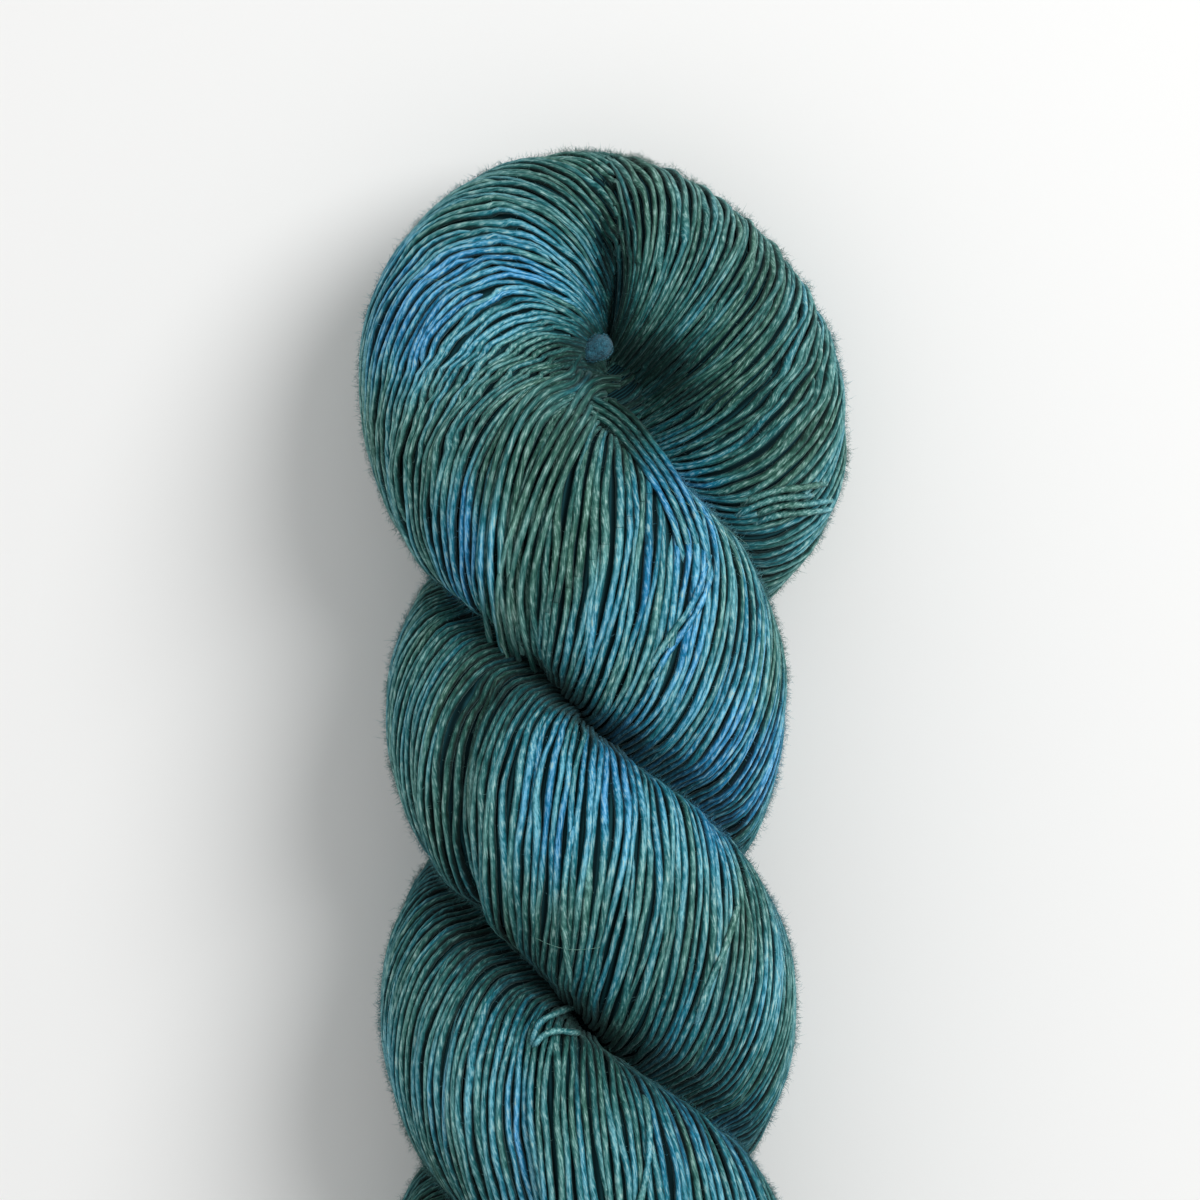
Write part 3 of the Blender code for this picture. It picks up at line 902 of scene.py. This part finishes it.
def wool_single():
    """Hand-dyed merino single: teal that turns to green and to blue along the yarn, soft, with fine
    fibres that lie in a slack twist and a faint sheen."""
    made, nodes, shader = new_material(
        "hand-dyed merino single",
        Roughness=0.72,
        Specular_IOR_Level=0.25,
        Sheen_Weight=0.25,
        Sheen_Roughness=0.45,
        Sheen_Tint=linear("#9fd0d0"),
    )
    twist = 22.0  # millimetres of yarn for one turn of its own twist
    strand = add_node(nodes, "UVMap", {"uv_map": "Strand"})
    parts = add_node(nodes, "SeparateXYZ", Vector=strand).outputs
    # Fibres lie in that twist, in tufts about 0.3 mm across and 1.5 mm long: coarse enough to show.
    wound = add_node(nodes, "Math", {"operation": "MULTIPLY_ADD"}, _0=parts["X"], _1=1 / twist, _2=parts["Y"])
    turn = add_node(nodes, "Math", {"operation": "MULTIPLY"}, _0=wound, _1=2 * np.pi)
    cosine = add_node(nodes, "Math", {"operation": "COSINE"}, _0=turn)
    sine = add_node(nodes, "Math", {"operation": "SINE"}, _0=turn)
    drawn_out = add_node(nodes, "Math", {"operation": "MULTIPLY"}, _0=parts["X"], _1=0.30)
    helix = add_node(nodes, "CombineXYZ", X=cosine, Y=sine, Z=drawn_out)
    fibre = add_node(nodes, "TexNoise", Vector=helix, Scale=2.2, Detail=3.0, Roughness=0.6)
    # Lighter and darker flecks about 2 mm long go right round the yarn.
    place = add_node(nodes, "VectorMath", {"operation": "MULTIPLY"}, _0=strand, _1=(0.30, 0.6, 1.0))
    fleck = add_node(nodes, "TexNoise", Vector=place, Scale=1.6, Detail=3.0, Roughness=0.6)
    mixed = add_node(nodes, "Math", {"operation": "MULTIPLY_ADD"}, _0=fleck, _1=0.6, _2=fibre)
    fibre_tone = add_node(nodes, "MapRange", Value=mixed, _1=0.60, _2=1.02, _3=0.35, _4=1.75)
    # The dye goes from green teal to blue by the attribute blue.
    blue = add_node(nodes, "Attribute", {"attribute_name": "blue"}).outputs["Fac"]
    tone = add_node(nodes, "Attribute", {"attribute_name": "tone"}).outputs["Fac"]
    dye = add_node(nodes, "ValToRGB", Fac=blue)
    stops = [(0.0, "#43695f"), (0.3, "#437373"), (0.55, "#46808e"), (0.8, "#43829d"), (1.0, "#4080a8")]
    marks = dye.color_ramp.elements
    marks[0].position, marks[0].color = stops[0][0], linear(stops[0][1])
    marks[1].position, marks[1].color = stops[-1][0], linear(stops[-1][1])
    for position, code in stops[1:-1]:
        marks.new(position).color = linear(code)
    # Only the crest of each turn lies open to the light, so its two sides are darker.
    around = add_node(nodes, "Math", {"operation": "MULTIPLY"}, _0=parts["Y"], _1=2 * np.pi)
    crest = add_node(nodes, "Math", {"operation": "COSINE"}, _0=around)
    facing = add_node(nodes, "MapRange", Value=crest, _1=-0.2, _2=1.0, _3=0.0, _4=1.0)
    facing = add_node(nodes, "Math", {"operation": "POWER"}, _0=facing, _1=3.5)
    light = add_node(nodes, "MapRange", Value=facing, _1=0.0, _2=1.0, _3=0.14, _4=1.80)
    lie = add_node(nodes, "Math", {"operation": "MULTIPLY"}, _0=light, _1=tone)
    both = add_node(nodes, "Math", {"operation": "MULTIPLY"}, _0=fibre_tone, _1=lie)
    shade = add_node(nodes, "VectorMath", {"operation": "SCALE"}, _0=dye, Scale=both)
    # Wool out of the light looks deeper dyed, as light reaches the eye off several fibres.
    depth = add_node(nodes, "MapRange", Value=both, _1=0.10, _2=1.3, _3=1.6, _4=0.98)
    deep = add_node(nodes, "HueSaturation", Saturation=depth, Color=shade)
    # The palest flecks are painted highlights: the lightest places of the fibre pattern, drawn pale only
    # where the crest lies open to the light.
    pale = add_node(nodes, "MapRange", Value=mixed, _1=0.84, _2=1.06, _3=0.0, _4=0.8)
    pale = add_node(nodes, "Math", {"operation": "MULTIPLY", "use_clamp": True}, _0=pale, _1=lie)
    colour = add_node(nodes, "Mix", {"data_type": "RGBA"}, _0=pale, _6=deep, _7=linear("#a3c4bf"))
    bump = add_node(nodes, "Bump", Height=fibre, Strength=0.8, Distance=0.0002)
    feed(shader, Base_Color=colour.outputs[2], Normal=bump)
    return made


MERINO = wool_single()


def yarn_piece(name, turns, sides=SIDES, wool=MERINO):
    """A piece of the hank made of round tubes along its turns."""
    return in_the_hank(tubes_mesh(name, turns, sides), wool)


def cut(turns, low, high):
    """The part of the turns between two distances along the way, with one ring shared."""
    at = np.flatnonzero((turns.way >= low) & (turns.way <= high))
    part = slice(at[0], min(at[-1] + 2, len(turns.way)))
    return Turns(*[values[part] if values.ndim == 1 else values[:, part] for values in turns])


long_turns = lay_turns(long_bundle, KNOTS[-1], LAYS, most=110, folded=TOP)
PARTS = {"right_leg": (0, RIGHT_BACK), "head": (RIGHT_BACK, LEFT_FRONT), "left_leg": (LEFT_FRONT, KNOTS[-1])}
for label, ends in PARTS.items():
    yarn_piece("turns_" + label, cut(long_turns, *ends))

# --- Turns that lie across the others -------------------------------------------------------------
# Here and there a turn or a group of turns has slipped while the hank was twisted, and lies over its
# neighbours at an angle. They are the same wool, rest on the turns below, and go down between them at
# both ends.
CELL = 0.0006  # of the grid of heights
CROSSING_STEPS = 46
CROSSING_LENGTH = 0.035  # of yarn in each of these turns, for its twist and its dye
CROSSING_RADIUS = 0.9 * YARN_RADIUS
CROSSING_WAVES = Waves(0.1, 0.5, 0.07)  # of its thickness, as shares of its way
SLIP = 0.0016  # how far each turn of a group may lie ahead of or behind the others
DIVE = 4.0 * YARN_RADIUS  # how deep both ends go in, each over this share of the way
DIVE_SHARE = 1 / 6
tops = long_turns.centre + np.array([0, 0, 1.0]) * long_turns.radius[..., None]
tops = [tops[:, :-1] * (1 - share) + tops[:, 1:] * share for share in (0, 1 / 3, 2 / 3)]
tops = np.stack(tops)[:, long_turns.shown[:, :-1]].reshape(-1, 3)
grid_low = tops[:, :2].min(axis=0) - 4 * CELL
grid_cell = ((tops[:, :2] - grid_low) / CELL).astype(int)
grid_height = np.zeros(grid_cell.max(axis=0) + 6)
np.maximum.at(grid_height, tuple(grid_cell.T), tops[:, 2])
for axis in (0, 1):
    around = np.maximum(np.roll(grid_height, 1, axis), np.roll(grid_height, -1, axis))
    grid_height = np.maximum(grid_height, around)


def resting_height(side, down):
    """The height of the hank's upper surface at each place, read between the four nearest cells of a
    grid of its highest points."""
    x, y = (side - grid_low[0]) / CELL - 0.5, (-down - grid_low[1]) / CELL - 0.5
    i, j = x.astype(int), y.astype(int)
    u, v = x - i, y - j
    low = grid_height[i, j] * (1 - u) + grid_height[i + 1, j] * u
    high = grid_height[i, j + 1] * (1 - u) + grid_height[i + 1, j + 1] * u
    return low * (1 - v) + high * v


def smooth_points(points, count):
    """Evenly spaced points on the natural cubic spline through a few chosen ones."""
    padded = np.zeros((len(points), 5))
    padded[:, : len(points[0])] = points
    return sections_at(padded, np.linspace(0, spline_knots(padded)[-1], count))[:, : len(points[0])]


# A group: how many turns, the gap between them where they start and end, how far they rise over the
# others, the way they take, as side and down, and the bed that they don't sink below: its height at the
# start and at the end, and how much more for each turn to the left.
no_bed = (0.0, 0.0, 0.0)
Group = collections.namedtuple("Group", "count gap_from gap_to rise path bed", defaults=[no_bed])
slipped_left = [(0.0014, 0.0386), (-0.0005, 0.0388), (-0.0027, 0.0415), (-0.0054, 0.0465), (-0.0087, 0.0530)]
slipped_left += [(-0.0118, 0.0615), (-0.0138, 0.0705), (-0.0134, 0.0770), (-0.0122, 0.0822)]
hollow_edge = [(-0.0012, 0.0410), (0.0022, 0.0434), (0.0056, 0.0473), (0.0090, 0.0522)]
hollow_edge += [(0.0126, 0.0595), (0.0146, 0.0672)]
beside_left = [(-0.0026, 0.0350), (-0.0042, 0.0376), (-0.0076, 0.0395), (-0.0112, 0.0428), (-0.0136, 0.0474)]
beside_left += [(-0.0156, 0.0544), (-0.0168, 0.0630), (-0.0166, 0.0720), (-0.0152, 0.0800)]
right_point = [(0.0215, 0.0590), (0.0275, 0.0566), (0.0320, 0.0560), (0.0350, 0.0555)]
first_leg_right = [(0.0168, 0.0655), (0.0144, 0.0725), (0.0104, 0.0785), (0.0066, 0.0850)]
second_leg_middle = [(-0.0040, 0.1040), (-0.0058, 0.1130), (-0.0062, 0.1230), (-0.0050, 0.1330)]
second_leg_right = [(0.0215, 0.1180), (0.0190, 0.1260), (0.0160, 0.1330), (0.0140, 0.1400)]
loop_out = [(-0.0050, 0.1362), (-0.0083, 0.1369), (-0.0101, 0.1381), (-0.0109, 0.1398), (-0.0112, 0.1418)]
loop_back = [(-0.0112, 0.1420), (-0.0096, 0.1399), (-0.0074, 0.1391), (-0.0042, 0.1398)]
third_leg_middle = [(0.0060, 0.1480), (0.0070, 0.1540), (0.0064, 0.1620), (0.0040, 0.1700)]
GROUPS = [
    Group(4, 0.0012, 0.0019, 0.0004, slipped_left, (0.034, 0.034, 0)),
    Group(4, 0.0011, 0.0013, 0.0003, hollow_edge, (0.0415, 0.0485, 0.0012)),
    Group(4, 0.0013, 0.0016, 0.0003, beside_left),
    Group(4, 0.0012, 0.0014, 0.0003, right_point),
    Group(2, 0.0011, 0.0013, 0.0001, first_leg_right),
    Group(1, 0, 0, 0.0002, second_leg_middle),
    Group(1, 0, 0, 0.0002, second_leg_right),
    Group(1, 0, 0, 0.0007, loop_out),
    Group(1, 0, 0, 0.0005, loop_back),
    Group(1, 0, 0, 0.0002, third_leg_middle),
]


def crossing_turns(groups, thickness):
    """Turns beside each group's path: point = path + place in the group times the gap, square to it. The
    height is the surface's or the bed's, plus the rise, less two yarns' thickness that it drops by over
    the first and last sixth."""
    found = []
    t = np.linspace(0, 1, CROSSING_STEPS)
    for group in groups:
        path = smooth_points(group.path, CROSSING_STEPS)
        heading = unit(np.gradient(path, axis=0))
        square = np.stack([-heading[:, 1], heading[:, 0]], axis=1)
        gap = group.gap_from + (group.gap_to - group.gap_from) * t
        place = np.arange(group.count) - (group.count - 1) / 2
        slip = rng.uniform(-SLIP, SLIP, (group.count, 1, 1)) * min(1, group.count - 1)
        flat = path[None] + (place[:, None] * gap)[..., None] * square + slip * heading
        ends = np.clip(np.minimum(t, 1 - t) / DIVE_SHARE, 0, 1)
        bed = group.bed[0] + (group.bed[1] - group.bed[0]) * t + group.bed[2] * place[:, None]
        height = np.maximum(resting_height(flat[..., 0], flat[..., 1]), bed)
        height += group.rise * ends - DIVE * (1 - ends)
        height = np.stack([softened(row, spread=3.0, reach=6) for row in height])
        found.append(np.stack([flat[..., 0], -flat[..., 1], height], axis=-1))
    centre = np.concatenate(found)
    radius = thickness * (1 + wander(len(centre), t, CROSSING_WAVES))
    normal = np.broadcast_to([0.0, 0.0, 1.0], centre.shape)
    shown = np.ones(radius.shape, dtype=bool)
    length = t * CROSSING_LENGTH
    return dyed(Turns(centre, normal, radius, shown, length, FAR_OFF + 0 * radius, length, None, None))


yarn_piece("turns_across", crossing_turns(GROUPS, CROSSING_RADIUS))

# --- Guard hairs ---------------------------------------------------------------------------------
# A few long, pale, coarse hairs of the fleece that took no dye. They lie loose on the hank, held only
# where their ends go in between the turns.
HAIR_RADIUS = 0.00004
HAIR_TONE = 2.4
HAIRS = [
    Group(1, 0, 0, 0.0006, [(-0.0317, 0.0213), (-0.0262, 0.0216), (-0.0208, 0.0235)]),
    Group(1, 0, 0, 0.0006, [(0.0056, 0.0480), (0.0118, 0.0560), (0.0180, 0.0600), (0.0243, 0.0640)]),
    Group(1, 0, 0, 0.0006, [(-0.0120, 0.1240), (-0.0060, 0.1262), (0.0010, 0.1256)]),
]
hairs = crossing_turns(HAIRS, HAIR_RADIUS)
pale_hairs = hairs._replace(tone=np.full(hairs.tone.shape, HAIR_TONE), blue=np.zeros(hairs.blue.shape))
yarn_piece("guard_hairs", pale_hairs, sides=4)

# --- The turns of the heart, the nose and the collar ---------------------------------------------
# The same yarn where it shows in the head's middle, and at the foot, where the loop of one leg is
# pulled out through the loop of the other.
HEART_OPEN = 0.034  # how far along its way the heart shows
HEART_SUNK = 0.0010  # how much lower than its own skin it lies, in the shade
# How much darker the heart's turns are drawn: painted shade, for the light that doesn't reach into the head's
# middle.
HEART_SHADE = 0.5
OVERLAP = 1.02  # of the way round the collar, so that its turns have no gap
heart = lay_turns(heart_bundle, HEART_OPEN, HEART_LAYS, most=44)
nose = lay_turns(nose_bundle, spline_knots(NOSE)[-1], NOSE_LAYS, most=60)
collar = lay_turns(collar_bundle, OVERLAP * COLLAR_ROUND, COLLAR_LAYS, most=60)
sunk_centre = heart.centre - np.array([0, 0, HEART_SUNK])
yarn_piece("turns_heart", heart._replace(tone=heart.tone * HEART_SHADE, centre=sunk_centre))
yarn_piece("turns_nose", nose)
yarn_piece("turns_collar", collar)

# --- The knob in the hollow ----------------------------------------------------------------------
# One turn is bent double where it comes up out of the hollow, and its felted end makes a round knob.
# It is the same wool, rubbed until it matted, and its foot is held between the turns.
KNOB_RINGS = 13
KNOB_SIDE = -0.0012
KNOB_DOWN = 0.0320
KNOB_HEIGHT = 0.0330
KNOB_LONG = 0.0046
KNOB_SLANT = 0.5  # how far back it goes for each metre to the right
KNOB_ARCH = 60  # how steeply its height falls off from its middle
KNOB_RADIUS = 0.0020
KNOB_YARN = 0.006  # the length of yarn that made it
KNOB_BLUE = 0.80
KNOB_TONE = 0.72


def felted_wool():
    """Felted wool, dyed blue and rubbed until its fibres matted: dull, with no strands to see, and with
    grains of about 0.7 mm that have finer ones in them."""
    made, nodes, shader = new_material(
        "felted wool", Roughness=0.95, Specular_IOR_Level=0.1, Sheen_Weight=0.15, Sheen_Roughness=0.6
    )
    place = add_node(nodes, "TexCoord").outputs["Object"]
    mat = add_node(nodes, "TexNoise", Vector=place, Scale=1500.0, Detail=4.0, Roughness=0.75)
    share = add_node(nodes, "MapRange", Value=mat, _1=0.30, _2=0.70, _3=0.0, _4=1.0)
    mixed = {"_0": share, "_6": linear("#0c2c38"), "_7": linear("#3a7f94")}
    colour = add_node(nodes, "Mix", {"data_type": "RGBA"}, **mixed)
    bump = add_node(nodes, "Bump", Height=mat, Strength=1.0, Distance=0.0006)
    feed(shader, Base_Color=colour.outputs[2], Normal=bump)
    return made


# The knob's middle line is a low arch. Its radius is an oval's, sqrt(sin(way)), fuller at its right end
# and a little uneven.
knob_way = np.linspace(0, 1, KNOB_RINGS)
knob_along = KNOB_LONG * (knob_way - 0.5)
knob_height = KNOB_HEIGHT - KNOB_ARCH * knob_along**2
knob_centre = [KNOB_SIDE + knob_along, KNOB_SLANT * knob_along - KNOB_DOWN, knob_height]
knob_centre = np.stack(knob_centre, axis=1)
oval = np.sqrt(np.sin(np.pi * (0.03 + 0.94 * knob_way)))
knob_radius = KNOB_RADIUS * oval * (0.78 + 0.34 * knob_way + 0.06 * np.sin(11 * knob_way))
knob = Turns(
    centre=knob_centre[None],
    normal=np.broadcast_to([[[0.0, 0.0, 1.0]]], (1, KNOB_RINGS, 3)),
    radius=knob_radius[None],
    shown=np.ones((1, KNOB_RINGS), dtype=bool),
    length=knob_way * KNOB_YARN,
    near=np.full((1, KNOB_RINGS), FAR_OFF),
    way=knob_way,
    blue=np.full((1, KNOB_RINGS), KNOB_BLUE),
    tone=np.full((1, KNOB_RINGS), KNOB_TONE),
)
yarn_piece("knob", knob, sides=12, wool=felted_wool())

# --- The fuzz ------------------------------------------------------------------------------------
# Merino that is spun in one ply sheds short fibres, which stand off the turns as a soft bloom. Each
# fibre is a thin curved hair rooted on a turn, and drawn a little thicker than real wool so it shows.
FIBRE_RADIUS = 0.000025
FIBRES = 23500  # on each of the three parts of the long bundle
FIBRE_HALF = 0.00056  # its length from root to middle, and from there to its tip
FIBRE_ROOT = 0.85  # of a turn's radius, how far out its root is
LEAN = 1.1  # radians that it may lean to either side of its turn
FLOOR_GAP = 0.0001
CLUMP_WAVES = Waves(0.004, 0.030, 0.6)
# How likely a place is to have a fibre: anywhere, where it doesn't face down, and on the hank's sides.
ANYWHERE = 0.10
NOT_UNDER = 0.20
ON_SIDES = 9.0
SIDES_UPWARD = 0.22


def hairs_mesh(name, root, middle, tip, blue, tone):
    """Fine bent hairs, pointed at both ends, six triangles each: the root, three points round the
    middle, middle + radius (cos side + sin over), and the tip. Each has its own cell in OFBake."""
    count = len(root)
    along = unit(tip - root)
    side = unit(np.cross(along, [0.3, 0.5, 0.8]))
    over = np.cross(along, side)
    angle = np.arange(3) * 2 * np.pi / 3
    belly = np.cos(angle)[:, None] * side[:, None] + np.sin(angle)[:, None] * over[:, None]
    points = np.concatenate([root[:, None], middle[:, None] + FIBRE_RADIUS * belly, tip[:, None]], axis=1)
    corners = np.array([[0, 2, 1], [0, 3, 2], [0, 1, 3], [4, 1, 2], [4, 2, 3], [4, 3, 1]])
    loops = np.arange(count)[:, None, None] * 5 + corners
    made = add_mesh(name, points.reshape(-1, 3), loops.ravel(), np.arange(count * 6) * 3)
    across = int(np.ceil(np.sqrt(count)))
    cell = np.stack([np.arange(count) % across, np.arange(count) // across], axis=1)
    place = np.array([[0.1, 0.5], [0.5, 0.1], [0.5, 0.5], [0.5, 0.9], [0.9, 0.5]])[corners]
    bake = (cell[:, None, None] + place) / across
    # Each hair reads the yarn's pattern a little off its crest, in a place of its own, so it takes the
    # painted light of a crest.
    strand = np.stack(np.broadcast_arrays(3.0 * cell[:, :1, None] + corners, 0.06 + 0 * corners), axis=-1)
    marks = {"blue": np.repeat(blue, 5), "tone": np.repeat(tone, 5)}
    write_maps(made, {"Strand": strand, "OFBake": bake}, marks)
    return in_the_hank(made, MERINO)


def fuzz_on(name, turns, count):
    """Hairs rooted on the shown rings of the turns, most of them where the hank's side is seen: the
    weight of a ring is clump (ANYWHERE + NOT_UNDER + ON_SIDES exp(-(upward / SIDES_UPWARD)²))."""
    rows, columns = np.nonzero(turns.shown & (turns.near > 0.02))
    upward = turns.normal[rows, columns, 2]
    clump = np.exp(wander(turns.near.shape[0], turns.length, CLUMP_WAVES))[rows, columns]
    sides = ON_SIDES * np.exp(-((upward / SIDES_UPWARD) ** 2))
    chance = np.cumsum(clump * (ANYWHERE + NOT_UNDER * (upward > -0.3) + sides))
    pick = np.searchsorted(chance, rng.uniform(0, chance[-1], count))
    row, column = rows[pick], columns[pick]
    forward = np.gradient(turns.centre, axis=1)[row, column]
    normal = turns.normal[row, column]
    over = unit(np.cross(unit(forward), normal))
    lean = rng.uniform(-LEAN, LEAN, (count, 1))
    outward = np.cos(lean) * normal + np.sin(lean) * over
    root = turns.centre[row, column] + forward * rng.uniform(-0.5, 0.5, (count, 1))
    root = root + outward * turns.radius[row, column][:, None] * FIBRE_ROOT
    size = FIBRE_HALF * np.exp(rng.normal(0, 0.3, (count, 1)))
    start = unit(outward * rng.uniform(0.3, 1.0, (count, 1)) + rng.normal(0, 0.45, (count, 3)))
    bend = unit(start + rng.normal(0, 0.9, (count, 3)))
    middle = root + start * size
    tip = middle + bend * size
    middle[:, 2], tip[:, 2] = np.maximum(middle[:, 2], FLOOR_GAP), np.maximum(tip[:, 2], FLOOR_GAP)
    tone = 0.4 + 0.6 * turns.tone[row, column]
    return hairs_mesh(name, root, middle, tip, turns.blue[row, column], tone)


for label, ends in PARTS.items():
    fuzz_on("fuzz_" + label, cut(long_turns, *ends), FIBRES)

# The knob's own bloom: short fibres that stand off it on all sides, and forward at its ends.
KNOB_FIBRES = 900
KNOB_FIBRE_HALVES = (0.00030, 0.00032)
root_way = rng.uniform(0.05, 0.95, KNOB_FIBRES)
root_angle = rng.uniform(0, 2 * np.pi, KNOB_FIBRES)
knob_heading = unit(np.array([1.0, KNOB_SLANT, 0.0]))
upwards = np.array([0.0, 0.0, 1.0])
knob_over = np.cross(knob_heading, upwards)
outward = np.cos(root_angle)[:, None] * upwards + np.sin(root_angle)[:, None] * knob_over
root = np.stack([np.interp(root_way, knob_way, knob_centre[:, axis]) for axis in range(3)], axis=1)
root = root + outward * np.interp(root_way, knob_way, knob_radius)[:, None] * 0.95
forward = 1.6 * (root_way - 0.5)[:, None] * knob_heading
stand = unit(outward + forward + rng.normal(0, 0.5, (KNOB_FIBRES, 3)))
middle = root + KNOB_FIBRE_HALVES[0] * stand
tip = middle + KNOB_FIBRE_HALVES[1] * unit(stand + rng.normal(0, 0.9, (KNOB_FIBRES, 3)))
hairs_mesh("fuzz_knob", root, middle, tip, np.full(KNOB_FIBRES, 0.75), np.full(KNOB_FIBRES, 0.8))

# --- The surface, the light and the camera --------------------------------------------------------
# A plain pale surface of paper that the hank lies on, a large soft lamp high on the right, a weak fill
# on the left, and a camera that looks straight down.
FLOOR_SIZE = 3.0
corners = np.array([[-1, -1, 0], [1, -1, 0], [1, 1, 0], [-1, 1, 0]]) * FLOOR_SIZE / 2 - SHIFT
floor = add_mesh("surface", corners, np.arange(4), np.array([0]))
# Uncoated paper: matt and nearly white.
paper = new_material("pale paper", Base_Color=linear("#f0f0ef"), Roughness=0.9)[0]
floor.data.materials.append(paper)

ROOM_LIGHT = 0.56
scene = bpy.context.scene
scene.world = bpy.data.worlds.new("soft room")
scene.world.use_nodes = True
sky = scene.world.node_tree.nodes["Background"]
sky.inputs["Color"].default_value = (1, 1, 1, 1)
sky.inputs["Strength"].default_value = ROOM_LIGHT


def soft_lamp(name, place, size, power, aim):
    """A round area lamp of a size in metres and a power in watts, turned towards a point."""
    data = bpy.data.lights.new(name, "AREA")
    data.shape = "DISK"
    data.size = size
    data.energy = power
    lamp = bpy.data.objects.new(name, data)
    scene.collection.objects.link(lamp)
    lamp.location = place
    lamp.rotation_euler = (Vector(aim) - Vector(place)).to_track_quat("-Z", "Y").to_euler()
    return lamp


view_middle = (-0.0008, 0.0616, 0.027)
soft_lamp("key", place=(0.70, 0.45, 1.05), size=0.8, power=11.4, aim=view_middle)
soft_lamp("fill", place=(-0.9, -0.2, 0.9), size=1.2, power=1.2, aim=view_middle)

CAMERA_DISTANCE = 0.95
VIEW_WIDTH = 0.192  # what the camera sees at the hank's middle, in metres
SENSOR_WIDTH = 36
camera = bpy.data.objects.new("camera", bpy.data.cameras.new("camera"))
scene.collection.objects.link(camera)
camera.location = (view_middle[0], view_middle[1], view_middle[2] + CAMERA_DISTANCE)
camera.data.sensor_width = SENSOR_WIDTH
camera.data.lens = SENSOR_WIDTH * CAMERA_DISTANCE / VIEW_WIDTH
camera.data.clip_start = 0.01
scene.camera = camera
scene.view_settings.view_transform = "Standard"
